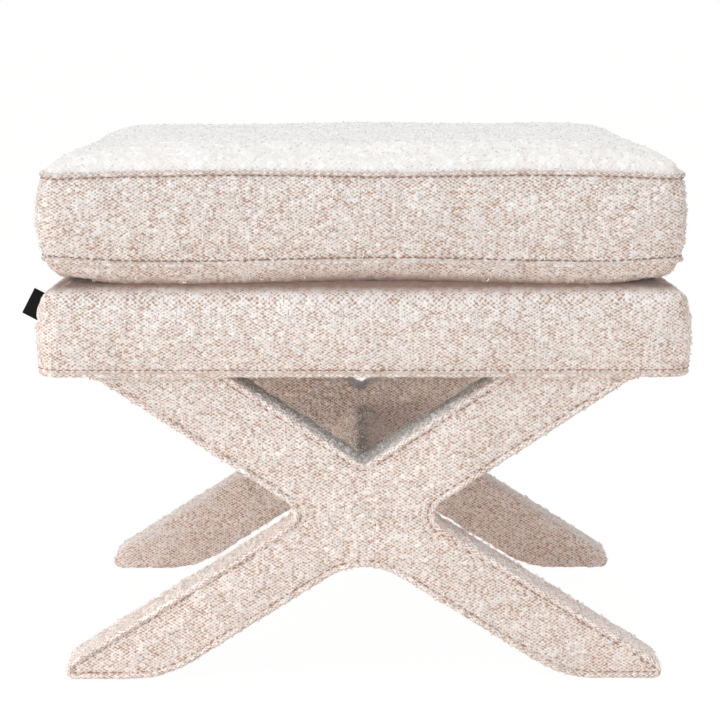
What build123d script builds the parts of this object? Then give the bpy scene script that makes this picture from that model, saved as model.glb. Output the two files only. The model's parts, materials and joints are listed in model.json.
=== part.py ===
from build123d import *
import os
from math import cos, hypot, radians, sin, sqrt, tan

# Upholstered ottoman on two crossed leg frames, in millimetres.
# The floor is z = 0, the front faces -Y and the left side faces -X.

# Covering and padding
cover_t = 2.0  # boucle cover
pad_t = 4.0  # wadding round the legs and the stretcher
edge_pad = 9.0  # wadding along the platform's sides
soft_gap = 0.3  # room between curved soft faces
fit_gap = 0.1  # room round screws, nails, bolts and dowels

# Platform
seat_width = 600.0
seat_depth = 470.0
platform_corner = 22.0
platform_bulge = 2.0
platform_side = 69.0  # height of the upright side
platform_roll = 12.0  # height of the rounded top edge
platform_roll_in = 14.0
platform_crown = 6.0
platform_crown_in = 90.0  # from the edge to the flat of the top
platform_welt_h = 7.0
platform_welt_out = 1.2
hem_width = 50.0  # cover turned in under the rails
dust_cover_t = 1.0
dust_cover_margin = 6.0

# Platform carcass
rail_height = 50.0
rail_t = 40.0  # front and rear rails, as thick as the leg boards
side_rail_t = 22.0
deck_t = 9.0
corner_block = 36.0
corner_block_height = 42.0
corner_screw_length = 50.0
corner_screw_inset = 12.0
deck_screw_length = 35.0
deck_screw_places = (85.0, 250.0)  # from the middle, along the front and rear rails
screw_r = 2.0
screw_head_r = 4.0
screw_head_h = 2.5

# Cushion
cushion_width = 590.0
cushion_depth = 462.0
cushion_corner = 24.0
cushion_draw = 4.0  # how far the front and the sides pull in
cushion_bulge = 4.0
boxing_height = 80.0
cushion_crown = 32.2
cushion_belly = 16.5
welt_d = 5.0
corner_ease = 0.3  # corners grow rounder towards the crown
crown_in = 150.0  # from the seam to the flat of the top
belly_in = 60.0

# Hook and loop strips
strip_t = 1.5
strip_width = 25.0
strip_length = 240.0
strip_spread = 150.0

# Crossed leg frames, drawn on the front face
frame_top = 290.0
upper_arm_angle = 33.6
upper_arm_width = 69.0
upper_cross_z = 166.0  # where the upper arms' centre lines meet
lower_arm_angle = 32.4
lower_arm_width = 61.0
lower_cross_z = 158.0  # where the lower arms' centre lines meet
toe_x = 281.0
top_apex_r = 8.0
side_apex_r = 14.0
arch_r = 62.0
toe_top_r = 10.0
toe_r = 5.0
heel_r = 25.0
wrap_edge_r = 4.0  # rounded inner edges of the wrap
face_welt_w = 5.0
face_welt_out = 1.0

# Stretcher
stretcher_side = 52.0
stretcher_corner = 11.0
stretcher_z = 159.0
stretcher_bolt_r = 4.0
stretcher_bolt_head_r = 7.0
stretcher_bolt_head_h = 5.0
stretcher_bolt_grip = 22.0  # thread held in the bar
stretcher_insert_r = 6.0
dowel_r = 4.0
dowel_depth = 18.0
dowel_offset = 15.0  # from the bolt, towards the bar's left and right corners

# Leg fixings
leg_bolt_drop = 17.7  # below the frame's top, where the bolt crosses the arm's centre line
leg_bolt_r = 4.0
leg_bolt_flats = 13.0
leg_bolt_head_h = 5.3
washer_r = 8.0
washer_t = 1.6
bolt_well_r = 10.0
bolt_well_depth = 12.0
insert_r = 6.0
insert_length = 28.0

# Foot glides
glide_height = 2.0
glide_r = 11.0
glide_spread = 42.0
nail_r = 1.5
nail_head_r = 3.0
nail_head_h = 0.8
nail_sink = 0.5  # nail head above the glide's face
nail_length = 22.0

# Blank woven tab at the platform's left side
label_t = 1.2
label_width = 15.0
label_length = 26.0
label_lean = 28.0
label_out = 9.0  # from the platform's side to the tab's outermost corner
label_rise = 70.0  # above the platform's lower edge
label_back = 24.0  # behind the platform's front face

# Zip in the cushion's rear boxing
zip_half = 225.0
zip_tape_width = 28.0
zip_flat_margin = 2.0  # flat boxing beyond the tape's edge
chain_t = 1.2
chain_width = 5.0
zip_end = 12.0  # from the end of the tape to the chain's stop
stop_length = 3.0
stop_t = 1.8
slider_length = 10.0
slider_width = 9.0
slider_t = 2.4
slider_park = 6.0  # from the stop to the closed slider
slider_gap = 0.3
pull_pin_r = 0.9
pull_eye_r = 2.0
pull_rise = 1.6  # pull pin above the slider's plate
pull_clearance = 0.08
pull_length = 26.0
pull_width = 4.4
pull_t = 1.2
cheek_t = 1.4
cheek_gap = 0.3

# Places that follow from the driving dimensions
core_x = seat_width / 2 - cover_t - edge_pad  # outer faces of the rails
core_y = seat_depth / 2 - cover_t - edge_pad
hem_bottom = frame_top + dust_cover_t
rail_bottom = hem_bottom + cover_t
rail_top = rail_bottom + rail_height
deck_top = rail_top + deck_t
platform_top = hem_bottom + platform_side + platform_roll + platform_crown
cushion_base = platform_top + 2 * strip_t + soft_gap
lower_seam = cushion_base + cushion_belly
upper_seam = lower_seam + boxing_height
leg_bolt_x = (frame_top - leg_bolt_drop - upper_cross_z) / tan(radians(upper_arm_angle))
leg_inner = core_y - rail_t
leg_middle = core_y - rail_t / 2
frame_face = core_y + pad_t + cover_t
frame_back = leg_inner - pad_t - cover_t

CENTRED_UP = (Align.CENTER, Align.CENTER, Align.MIN)


def block(low, high):
    size = [b - a for a, b in zip(low, high)]
    middle = [(a + b) / 2 for a, b in zip(low, high)]
    return Pos(*middle) * Box(*size)


def post(x, y, low, high, radius):
    return Pos(x, y, low) * Cylinder(radius, high - low, align=CENTRED_UP)


def rod_along_x(x_from, x_to, y, z, radius):
    turned = Rot(0, 90, 0) * Cylinder(radius, abs(x_to - x_from))
    return Pos((x_from + x_to) / 2, y, z) * turned


def rod_along_y(x, y_from, y_to, z, radius):
    turned = Rot(90, 0, 0) * Cylinder(radius, abs(y_to - y_from))
    return Pos(x, (y_from + y_to) / 2, z) * turned


def flat(points):
    return make_face(Polyline(*points, close=True))


def group(solids):
    return Compound([solid for shape in solids for solid in shape.solids()])


# Pillow forms: level outlines with pulled-in sides, stacked along a profile of
# (inset from the outline, height) pairs.

def pillow_face(half_x, half_y, corner, draw):
    front_left, front_right = (-half_x, -half_y), (half_x, -half_y)
    rear_left, rear_right = (-half_x, half_y), (half_x, half_y)
    rear = Line(rear_right, rear_left)
    if draw > 0:
        front = ThreePointArc(front_left, (0, draw - half_y), front_right)
        right = ThreePointArc(front_right, (half_x - draw, 0), rear_right)
        left = ThreePointArc(rear_left, (draw - half_x, 0), front_left)
    else:
        front = Line(front_left, front_right)
        right = Line(front_right, rear_right)
        left = Line(rear_left, front_left)
    face = make_face([front, right, rear, left])
    return fillet(face.vertices(), corner)


def pillow(profile, half_x, half_y, corner, draw):
    levels = []
    for inset, height in profile:
        level_x, level_y = half_x - inset, half_y - inset
        level_corner = min(corner + corner_ease * inset, 0.85 * level_x, 0.85 * level_y)
        face = pillow_face(level_x, level_y, level_corner, draw)
        levels.append(Pos(0, 0, height) * face)
    return loft(levels, ruled=True)


def dome(run, rise, steps):
    # Steep at the edge and level at the end, as a stuffed cover is.
    levels = []
    for step in range(steps + 1):
        share = (step / steps) ** 2
        levels.append((run * share, rise * sqrt(1 - (1 - share) ** 4)))
    return levels


def shrunk(profile, thickness, floor):
    # The profile moved inwards by a thickness, with its first level at the floor.
    moved = []
    for i, (inset, height) in enumerate(profile):
        before = profile[max(i - 1, 0)]
        after = profile[min(i + 1, len(profile) - 1)]
        run, rise = after[0] - before[0], after[1] - before[1]
        length = hypot(run, rise)
        moved.append((inset + thickness * rise / length, height - thickness * run / length))
    moved[0] = (moved[0][0], floor)
    return moved


def cushion_form(profile):
    return pillow(profile, cushion_width / 2, cushion_depth / 2, cushion_corner, cushion_draw)


def platform_form(profile):
    return pillow(profile, seat_width / 2, seat_depth / 2, platform_corner, 0)


parts = {}

# Platform carcass
screw_y = leg_middle
deck_screw_xs = [side * place for side in (-1, 1) for place in deck_screw_places]
leg_bolt_places = [(x, y) for x in (-leg_bolt_x, leg_bolt_x) for y in (-leg_middle, leg_middle)]
well_floor = rail_top - bolt_well_depth


def long_rail(side):
    low_y, high_y = sorted((side * leg_inner, side * core_y))
    rail = block((-core_x, low_y, rail_bottom), (core_x, high_y, rail_top))
    for x in deck_screw_xs:
        rail -= post(x, side * screw_y, deck_top - deck_screw_length, rail_top, screw_r + fit_gap)
    for x in (-leg_bolt_x, leg_bolt_x):
        rail -= post(x, side * leg_middle, rail_bottom, rail_top, leg_bolt_r + fit_gap)
        rail -= post(x, side * leg_middle, well_floor, rail_top, bolt_well_r)
    return rail


def side_rail(side):
    low_x, high_x = sorted((side * (core_x - side_rail_t), side * core_x))
    return block((low_x, -leg_inner, rail_bottom), (high_x, leg_inner, rail_top))


block_bottom = rail_bottom + (rail_height - corner_block_height) / 2
block_x = core_x - side_rail_t  # inner face of a side rail
screw_z_low = block_bottom + corner_block_height / 3
screw_z_high = block_bottom + 2 * corner_block_height / 3


def corner_screw_pair(sx, sy):
    # One screw into the side rail, one higher up into the front or rear rail.
    start_x = sx * (block_x - corner_block)
    start_y = sy * (leg_inner - corner_block)
    in_x = sx * (block_x - corner_screw_inset)
    in_y = sy * (leg_inner - corner_screw_inset)
    tip_x = start_x + sx * corner_screw_length
    tip_y = start_y + sy * corner_screw_length
    head_x = start_x - sx * screw_head_h
    head_y = start_y - sy * screw_head_h
    into_side = rod_along_x(start_x, tip_x, in_y, screw_z_low, screw_r)
    into_side += rod_along_x(head_x, start_x, in_y, screw_z_low, screw_head_r)
    into_long = rod_along_y(in_x, start_y, tip_y, screw_z_high, screw_r)
    into_long += rod_along_y(in_x, head_y, start_y, screw_z_high, screw_head_r)
    holes = rod_along_x(start_x, tip_x, in_y, screw_z_low, screw_r + fit_gap)
    holes += rod_along_y(in_x, start_y, tip_y, screw_z_high, screw_r + fit_gap)
    return [into_side, into_long], holes


corner_screws, corner_blocks, corner_holes = [], [], []
for sx in (-1, 1):
    for sy in (-1, 1):
        screws, holes = corner_screw_pair(sx, sy)
        low_x, high_x = sorted((sx * (block_x - corner_block), sx * block_x))
        low_y, high_y = sorted((sy * (leg_inner - corner_block), sy * leg_inner))
        solid = block((low_x, low_y, block_bottom), (high_x, high_y, block_bottom + corner_block_height))
        corner_screws += screws
        corner_blocks.append(solid - holes)
        corner_holes.append(holes)

for name, rail in (
    ("front_rail", long_rail(-1)),
    ("rear_rail", long_rail(1)),
    ("left_rail", side_rail(-1)),
    ("right_rail", side_rail(1)),
):
    for holes in corner_holes:
        rail -= holes
    parts[name] = rail
parts["corner_blocks"] = group(corner_blocks)
parts["corner_block_screws"] = group(corner_screws)

deck = block((-core_x, -core_y, rail_top), (core_x, core_y, deck_top))
deck_screws = []
for x in deck_screw_xs:
    for y in (-screw_y, screw_y):
        shank = post(x, y, deck_top - deck_screw_length, deck_top - screw_head_h, screw_r)
        cone = Cone(screw_r, screw_head_r, screw_head_h, align=CENTRED_UP)
        deck_screws.append(shank + Pos(x, y, deck_top - screw_head_h) * cone)
        sink = Cone(screw_r + fit_gap, screw_head_r + fit_gap, screw_head_h, align=CENTRED_UP)
        deck -= post(x, y, rail_top, deck_top, screw_r + fit_gap)
        deck -= Pos(x, y, deck_top - screw_head_h) * sink
parts["deck_board"] = deck
parts["deck_screws"] = group(deck_screws)

# Platform padding and cover
side_top = hem_bottom + platform_side
roll_top = side_top + platform_roll
platform_profile = [
    (0.0, hem_bottom),
    (-0.8 * platform_bulge, hem_bottom + 0.25 * platform_side),
    (-platform_bulge, hem_bottom + 0.5 * platform_side),
    (-0.8 * platform_bulge, hem_bottom + 0.75 * platform_side),
]
platform_profile += [
    (inset, side_top + rise) for inset, rise in dome(platform_roll_in, platform_roll, 5)
]
platform_profile += [
    (0.35 * platform_crown_in, roll_top + 0.6 * platform_crown),
    (0.65 * platform_crown_in, roll_top + 0.9 * platform_crown),
    (platform_crown_in, platform_top),
]
platform_outer = platform_form(platform_profile)
platform_filling = platform_form(shrunk(platform_profile, cover_t + soft_gap, rail_bottom))

above_deck = block((-seat_width, -seat_depth, deck_top), (seat_width, seat_depth, platform_top))
below_deck = block((-seat_width, -seat_depth, rail_bottom), (seat_width, seat_depth, deck_top))
carcass_room = block((-core_x, -core_y, rail_bottom), (core_x, core_y, deck_top))
parts["platform_foam"] = platform_filling & above_deck
edge_ring = (platform_filling & below_deck) - carcass_room
edge_strips = []
for side in (-1, 1):
    low_y, high_y = sorted((side * core_y, side * seat_depth))
    edge_strips.append(edge_ring & block((-seat_width, low_y, rail_bottom), (seat_width, high_y, deck_top)))
    low_x, high_x = sorted((side * core_x, side * seat_width))
    edge_strips.append(edge_ring & block((low_x, -core_y, rail_bottom), (high_x, core_y, deck_top)))
parts["edge_wadding"] = group(edge_strips)

hem_x = core_x - hem_width
hem_y = core_y - hem_width
platform_cover = platform_outer - platform_form(shrunk(platform_profile, cover_t, rail_bottom))
platform_cover -= block((-hem_x, -hem_y, hem_bottom), (hem_x, hem_y, rail_bottom))
for x, y in leg_bolt_places:
    platform_cover -= post(x, y, hem_bottom, rail_bottom, leg_bolt_r + fit_gap)
parts["platform_cover"] = platform_cover

welt_face = pillow_face(
    seat_width / 2 + platform_welt_out, seat_depth / 2 + platform_welt_out, platform_corner, 0
)
welt_band = extrude(Pos(0, 0, hem_bottom) * welt_face, amount=platform_welt_h)
parts["platform_welt"] = welt_band - platform_outer

dust_x = core_x - dust_cover_margin
dust_y = core_y - dust_cover_margin
dust_cover = block((-dust_x, -dust_y, frame_top), (dust_x, dust_y, hem_bottom))
for x, y in leg_bolt_places:
    dust_cover -= post(x, y, frame_top, hem_bottom, leg_bolt_r + fit_gap)
parts["dust_cover"] = dust_cover

# The tab leans out of the seam: its lower outer corner reaches furthest.
lean = radians(label_lean)
label_corner_out = label_width / 2 * cos(lean) + label_length / 2 * sin(lean)
label_x = label_corner_out - label_out - seat_width / 2
label_z = hem_bottom + label_rise
label_y = label_back - seat_depth / 2
label_plate = Rot(0, label_lean, 0) * Box(label_width, label_t, label_length)
parts["woven_label"] = Pos(label_x, label_y, label_z) * label_plate - platform_outer


def strips(low):
    return group(
        [
            block(
                (x - strip_width / 2, -strip_length / 2, low),
                (x + strip_width / 2, strip_length / 2, low + strip_t),
            )
            for x in (-strip_spread, strip_spread)
        ]
    )


parts["hook_strips"] = strips(platform_top)

# Cushion
crown_profile = dome(crown_in, cushion_crown, 8)
belly_profile = dome(belly_in, cushion_belly, 6)
boxing_flat = zip_tape_width / 2 + zip_flat_margin  # the boxing stands upright here
boxing_profile = [
    (0.0, 0.0),
    (-0.6 * cushion_bulge, 0.5 * (boxing_height / 2 - boxing_flat)),
    (-cushion_bulge, boxing_height / 2 - boxing_flat),
    (-cushion_bulge, boxing_height / 2 + boxing_flat),
    (-0.6 * cushion_bulge, boxing_height - 0.5 * (boxing_height / 2 - boxing_flat)),
    (0.0, boxing_height),
]


def boxing_form(inset):
    return cushion_form([(edge + inset, height) for edge, height in boxing_profile])


def panel(profile):
    return cushion_form(profile) - cushion_form(shrunk(profile, cover_t, 0.0))


def wadding(profile):
    return cushion_form(shrunk(profile, cover_t + soft_gap, 0.0))


to_lower = Pos(0, 0, lower_seam)
to_upper = Pos(0, 0, upper_seam)
boxing_outer = to_lower * boxing_form(0.0)
boxing_shell = boxing_outer - to_lower * boxing_form(cover_t)
crown_outer = to_upper * cushion_form(crown_profile)
belly_outer = to_lower * mirror(cushion_form(belly_profile), about=Plane.XY)

parts["cushion_foam"] = to_lower * boxing_form(cover_t + soft_gap)
parts["cushion_top_wadding"] = to_upper * wadding(crown_profile)
parts["cushion_bottom_wadding"] = to_lower * mirror(wadding(belly_profile), about=Plane.XY)
parts["cushion_top_panel"] = to_upper * panel(crown_profile)
parts["cushion_bottom_panel"] = to_lower * mirror(panel(belly_profile), about=Plane.XY)
parts["loop_strips"] = strips(cushion_base - strip_t)


def seam_welt(height):
    ring = pillow_face(
        (cushion_width + welt_d) / 2, (cushion_depth + welt_d) / 2, cushion_corner, cushion_draw
    )
    cord = extrude(Pos(0, 0, height - welt_d / 2) * ring, amount=welt_d)
    return cord - boxing_outer - crown_outer - belly_outer


parts["cushion_top_welt"] = seam_welt(upper_seam)
parts["cushion_bottom_welt"] = seam_welt(lower_seam)

# Zip across the rear boxing, which is straight from side to side and upright here
zip_z = lower_seam + boxing_height / 2
zip_face_y = cushion_depth / 2 + cushion_bulge
chain_half = zip_half - zip_end


def zip_band(half_length, width, low_y, high_y):
    return block((-half_length, low_y, zip_z - width / 2), (half_length, high_y, zip_z + width / 2))


tape_back_y = zip_face_y - cover_t
chain_face_y = zip_face_y + chain_t
stop_face_y = zip_face_y + stop_t
parts["cushion_boxing"] = boxing_shell - zip_band(zip_half, zip_tape_width, tape_back_y, zip_face_y)
parts["zip_tape"] = zip_band(
    zip_half - fit_gap, zip_tape_width - 2 * fit_gap, tape_back_y, zip_face_y
)
parts["zip_chain"] = zip_band(chain_half, chain_width, zip_face_y, chain_face_y)
stops = zip_band(chain_half + stop_length, chain_width, zip_face_y, stop_face_y)
parts["zip_stops"] = group([stops - zip_band(chain_half, chain_width, zip_face_y, stop_face_y)])

slider_x = chain_half - slider_park - slider_length / 2
plate_low = chain_face_y + slider_gap
plate_high = plate_low + slider_t
skirt_low = zip_face_y + slider_gap
groove = chain_width + 2 * slider_gap
pin_y = plate_high + pull_rise + pull_pin_r
cheek_low = pull_width / 2 + cheek_gap
cheek_high = cheek_low + cheek_t
slider_ends = (slider_x - slider_length / 2, slider_x + slider_length / 2)

slider = block(
    (slider_ends[0], skirt_low, zip_z - slider_width / 2),
    (slider_ends[1], plate_high, zip_z + slider_width / 2),
)
slider -= block(
    (slider_ends[0], skirt_low, zip_z - groove / 2), (slider_ends[1], plate_low, zip_z + groove / 2)
)
for side in (-1, 1):
    low_z, high_z = sorted((zip_z + side * cheek_low, zip_z + side * cheek_high))
    slider += block(
        (slider_x - pull_eye_r, plate_high, low_z), (slider_x + pull_eye_r, pin_y + pull_pin_r, high_z)
    )
slider += post(slider_x, pin_y, zip_z - cheek_high, zip_z + cheek_high, pull_pin_r)
parts["zip_slider"] = slider

pull = block(
    (slider_x - pull_length, pin_y - pull_t / 2, zip_z - pull_width / 2),
    (slider_x, pin_y + pull_t / 2, zip_z + pull_width / 2),
)
pull += post(slider_x, pin_y, zip_z - pull_width / 2, zip_z + pull_width / 2, pull_eye_r)
pull -= post(slider_x, pin_y, zip_z - pull_width, zip_z + pull_width, pull_pin_r + pull_clearance)
parts["zip_pull"] = pull

# Crossed leg frames, drawn as (x, z) and given their depth along Y
tan_up, cos_up = tan(radians(upper_arm_angle)), cos(radians(upper_arm_angle))
tan_low, cos_low = tan(radians(lower_arm_angle)), cos(radians(lower_arm_angle))


def cross_corners(inset):
    # Right-hand corners of the crossed outline, from the top notch down to the arch.
    up = (upper_arm_width / 2 - inset) / cos_up
    low = (lower_arm_width / 2 - inset) / cos_low
    toe = toe_x - inset
    foot = glide_height + inset
    side_x = (lower_cross_z + low - upper_cross_z + up) / (tan_up + tan_low)
    return {
        "top_apex": (0.0, upper_cross_z + up),
        "arm_inner": ((frame_top - upper_cross_z - up) / tan_up, frame_top),
        "arm_outer": ((frame_top - upper_cross_z + up) / tan_up, frame_top),
        "side_apex": (side_x, upper_cross_z - up + side_x * tan_up),
        "toe_top": (toe, lower_cross_z + low - toe * tan_low),
        "toe": (toe, foot),
        "heel": ((lower_cross_z - low - foot) / tan_low, foot),
        "arch": (0.0, lower_cross_z - low),
    }


def mirrored(point):
    return (-point[0], point[1])


def cross_face(inset):
    # Inner corners grow and outer corners shrink as the outline moves inwards.
    radii = {
        "top_apex": top_apex_r + inset,
        "arm_inner": 0.0,
        "arm_outer": 0.0,
        "side_apex": side_apex_r + inset,
        "toe_top": toe_top_r - inset,
        "toe": toe_r - inset,
        "heel": heel_r - inset,
        "arch": arch_r + inset,
    }
    corners = cross_corners(inset)
    names = list(corners)
    back = names[-2:0:-1]
    points = [corners[n] for n in names] + [mirrored(corners[n]) for n in back]
    outline = FilletPolyline(*points, radius=[radii[n] for n in names + back], close=True)
    return make_face(outline)


def slab(face, inner, outer):
    # A front frame piece between two distances from the object's middle.
    return extrude(Pos(0, -inner, 0) * (Plane.XZ * face), amount=outer - inner)


def to_rear(shape):
    return Rot(0, 0, 180) * shape


foot = cross_corners(0.0)
foot_middle = (foot["heel"][0] + foot["toe"][0]) / 2
glide_xs = [side * (foot_middle + shift * glide_spread / 2) for side in (-1, 1) for shift in (-1, 1)]
nail_top = nail_sink + nail_length


def front_nail_holes():
    holes = [post(x, -leg_middle, 0, nail_top, nail_r + fit_gap) for x in glide_xs]
    return holes


insert_bottom = frame_top - insert_length
bolt_tip = insert_bottom
head_pocket = stretcher_bolt_head_h + fit_gap
bar_half = leg_inner  # the bar butts against the leg boards
bar_side = stretcher_side - 2 * (cover_t + pad_t)
dowel_xs = (-dowel_offset, dowel_offset)


def leg_board(arms, lap_inner, lap_outer):
    # Two arms and their half of the crossing, with every hole that they take.
    corners = cross_corners(cover_t + pad_t)
    middle = flat([corners["top_apex"], corners["side_apex"], corners["arch"], mirrored(corners["side_apex"])])
    board = slab(middle, lap_inner, lap_outer)
    for arm in arms:
        board += slab(flat(arm(corners)), leg_inner, core_y)
    board -= rod_along_y(0, -leg_inner, -core_y, stretcher_z, stretcher_bolt_r + fit_gap)
    board -= rod_along_y(0, head_pocket - core_y, -core_y, stretcher_z, stretcher_bolt_head_r + fit_gap)
    for x in dowel_xs:
        board -= rod_along_y(x, -leg_inner, -leg_inner - dowel_depth, stretcher_z, dowel_r + fit_gap)
    for x in (-leg_bolt_x, leg_bolt_x):
        board -= post(x, -leg_middle, insert_bottom, frame_top, insert_r + fit_gap)
    for hole in front_nail_holes():
        board -= hole
    return board


def upper_right(corners):
    return [corners[n] for n in ("top_apex", "arm_inner", "arm_outer", "side_apex")]


def lower_right(corners):
    return [corners[n] for n in ("side_apex", "toe_top", "toe", "heel", "arch")]


def upper_left(corners):
    return [mirrored(point) for point in upper_right(corners)]


def lower_left(corners):
    return [mirrored(point) for point in lower_right(corners)]


outer_board = leg_board((upper_left, lower_right), leg_middle, core_y)
inner_board = leg_board((upper_right, lower_left), leg_inner, leg_middle)


def bar_prism(side, corner, half_length):
    square = Rot(0, 0, 45) * Rectangle(side, side)
    if corner > 0:
        square = fillet(square.vertices(), corner)
    prism = extrude(Plane.XZ * square, amount=half_length, both=True)
    return Pos(0, 0, stretcher_z) * prism


# Padding: a sleeve on each arm and a piece at the crossing, parted beyond the notches
pad_face = cross_face(cover_t)
notch = cross_corners(cover_t)
part_top = (0.0, notch["top_apex"][1] + side_apex_r)
part_side = (notch["side_apex"][0] + side_apex_r, notch["side_apex"][1])
part_arch = (0.0, notch["arch"][1] - arch_r / 2)
crossing = slab(flat([part_top, part_side, part_arch, mirrored(part_side)]), frame_back, frame_face)
padding = slab(pad_face, frame_back + cover_t, frame_face - cover_t)
padding -= bar_prism(bar_side + 2 * soft_gap, 0, leg_middle)
wood_room = slab(flat(list(cross_corners(cover_t + pad_t).values())), leg_inner, core_y)
wood_room += mirror(wood_room, about=Plane.YZ)
padding -= wood_room
for hole in front_nail_holes():
    padding -= hole
sleeves = (padding - crossing).solids() + (padding & crossing).solids()

face_panel = slab(cross_face(face_welt_w), frame_face - cover_t, frame_face)
face_welt = slab(cross_face(0.0), frame_face - cover_t, frame_face + face_welt_out) - slab(
    cross_face(face_welt_w), frame_face - cover_t, frame_face + face_welt_out
)

wrap = slab(cross_face(0.0), frame_back, frame_face - cover_t)
back_edges = wrap.faces().sort_by(Axis.Y)[-1].edges()
wrap = fillet([e for e in back_edges if e.center().Z < frame_top - fit_gap], wrap_edge_r)
wrap -= slab(pad_face, frame_back + cover_t, frame_face - cover_t)
wrap -= bar_prism(bar_side + 2 * soft_gap, 0, leg_middle)
for hole in front_nail_holes():
    wrap -= hole

front_frame = {
    "leg_outer_lap": outer_board,
    "leg_inner_lap": inner_board,
    "frame_padding": group(sleeves),
    "frame_face_panel": face_panel,
    "frame_welt": face_welt,
    "frame_wrap": wrap,
}
for name, shape in front_frame.items():
    parts["front_" + name] = shape
    parts["rear_" + name] = to_rear(shape)

# Leg bolts, washers and inserts
bolts, washers, inserts = [], [], []
for x, y in leg_bolt_places:
    head_low = well_floor + washer_t
    hexagon = Pos(x, y, head_low) * RegularPolygon(leg_bolt_flats / 2, 6, major_radius=False)
    bolts.append(extrude(hexagon, amount=leg_bolt_head_h) + post(x, y, bolt_tip, head_low, leg_bolt_r))
    washer = post(x, y, well_floor, head_low, washer_r)
    washers.append(washer - post(x, y, well_floor, head_low, leg_bolt_r + fit_gap))
    insert = post(x, y, insert_bottom, frame_top, insert_r)
    inserts.append(insert - post(x, y, insert_bottom, frame_top, leg_bolt_r + fit_gap))
parts["leg_bolts"] = group(bolts)
parts["leg_bolt_washers"] = group(washers)
parts["leg_inserts"] = group(inserts)

# Stretcher between the two crossings
bar = bar_prism(bar_side, 0, bar_half)
stretcher_bolts, stretcher_inserts, dowels = [], [], []
for turn in (0, 180):
    place = Rot(0, 0, turn)
    grip_end = stretcher_bolt_grip - leg_inner
    shank = rod_along_y(0, head_pocket - core_y, grip_end, stretcher_z, stretcher_bolt_r)
    head = rod_along_y(0, fit_gap - core_y, head_pocket - core_y, stretcher_z, stretcher_bolt_head_r)
    stretcher_bolts.append(place * (shank + head))
    insert = rod_along_y(0, -leg_inner, grip_end, stretcher_z, stretcher_insert_r)
    insert -= rod_along_y(0, -leg_inner, grip_end, stretcher_z, stretcher_bolt_r + fit_gap)
    stretcher_inserts.append(place * insert)
    bar -= place * rod_along_y(0, -leg_inner, grip_end, stretcher_z, stretcher_insert_r + fit_gap)
    for x in dowel_xs:
        ends = (-leg_inner - dowel_depth, dowel_depth - leg_inner)
        dowels.append(place * rod_along_y(x, ends[0], ends[1], stretcher_z, dowel_r))
        bar -= place * rod_along_y(x, -leg_inner, ends[1], stretcher_z, dowel_r + fit_gap)
parts["stretcher_bar"] = bar
parts["stretcher_bolts"] = group(stretcher_bolts)
parts["stretcher_inserts"] = group(stretcher_inserts)
parts["stretcher_dowels"] = group(dowels)

sleeve_side = bar_side + 2 * pad_t
sleeve_corner = stretcher_corner - cover_t
parts["stretcher_padding"] = bar_prism(sleeve_side, sleeve_corner, frame_back) - bar_prism(
    bar_side, 0, frame_back
)
parts["stretcher_cover"] = bar_prism(stretcher_side, stretcher_corner, frame_back) - bar_prism(
    sleeve_side, sleeve_corner, frame_back
)

# Foot glides, each held by one nail
glides, nails = [], []
for y in (-leg_middle, leg_middle):
    for x in glide_xs:
        glide = post(x, y, 0, glide_height, glide_r)
        glide -= post(x, y, 0, glide_height, nail_r + fit_gap)
        glide -= post(x, y, 0, nail_sink + nail_head_h, nail_head_r + fit_gap)
        glides.append(glide)
        head = post(x, y, nail_sink, nail_sink + nail_head_h, nail_head_r)
        nails.append(head + post(x, y, nail_sink, nail_top, nail_r))
parts["foot_glides"] = group(glides)
parts["glide_nails"] = group(nails)

os.makedirs("parts", exist_ok=True)
for name, shape in parts.items():
    export_step(shape, f"parts/{name}.step")
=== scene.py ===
import json
import math

import bmesh
import bpy
import numpy as np
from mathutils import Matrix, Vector, kdtree


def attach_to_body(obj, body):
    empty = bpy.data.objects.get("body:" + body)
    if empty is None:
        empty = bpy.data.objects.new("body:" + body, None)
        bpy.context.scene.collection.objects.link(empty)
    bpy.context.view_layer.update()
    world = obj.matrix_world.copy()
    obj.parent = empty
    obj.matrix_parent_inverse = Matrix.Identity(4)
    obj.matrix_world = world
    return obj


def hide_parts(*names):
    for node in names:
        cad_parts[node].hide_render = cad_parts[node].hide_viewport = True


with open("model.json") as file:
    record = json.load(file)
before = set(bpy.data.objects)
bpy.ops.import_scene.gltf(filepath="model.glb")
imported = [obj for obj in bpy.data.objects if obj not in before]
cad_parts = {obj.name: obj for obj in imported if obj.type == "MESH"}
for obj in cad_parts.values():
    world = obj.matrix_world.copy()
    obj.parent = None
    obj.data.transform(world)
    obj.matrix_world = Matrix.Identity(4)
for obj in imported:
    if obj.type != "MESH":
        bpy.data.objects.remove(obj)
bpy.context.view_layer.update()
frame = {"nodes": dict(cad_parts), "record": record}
scene = bpy.context.scene
nodes = frame["nodes"]
print("frame loaded:", len(nodes), "CAD nodes")


# Small tools for nodes and materials

def linear(code):  # a hex colour as linear light
    values = [int(code[i:i + 2], 16) / 255 for i in (1, 3, 5)]
    return [v / 12.92 if v <= 0.04045 else ((v + 0.055) / 1.055) ** 2.4 for v in values] + [1]


def addNode(tree, kind, inputs=None, **settings):  # an input is a value or another node's output
    node = tree.nodes.new(kind)
    for name, value in settings.items():
        setattr(node, name, value)
    for key, value in (inputs or {}).items():
        if isinstance(value, bpy.types.NodeSocket):
            tree.links.new(value, node.inputs[key])
        else:
            node.inputs[key].default_value = value
    return node.outputs


def firstOf(tree, kind, inputs=None, **settings):  # a new node's first output
    return addNode(tree, kind, inputs, **settings)[0]


def maths(tree, operation, *inputs, **settings):
    return firstOf(tree, "ShaderNodeMath", dict(enumerate(inputs)), operation=operation, **settings)


def noise(tree, vector, grainMm, detail, output="Fac", flat=False, **more):
    inputs = {"Vector": vector, "Scale": 1000 / grainMm, "Detail": detail, **more}
    return addNode(tree, "ShaderNodeTexNoise", inputs, noise_dimensions="2D" if flat else "3D")[output]


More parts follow.
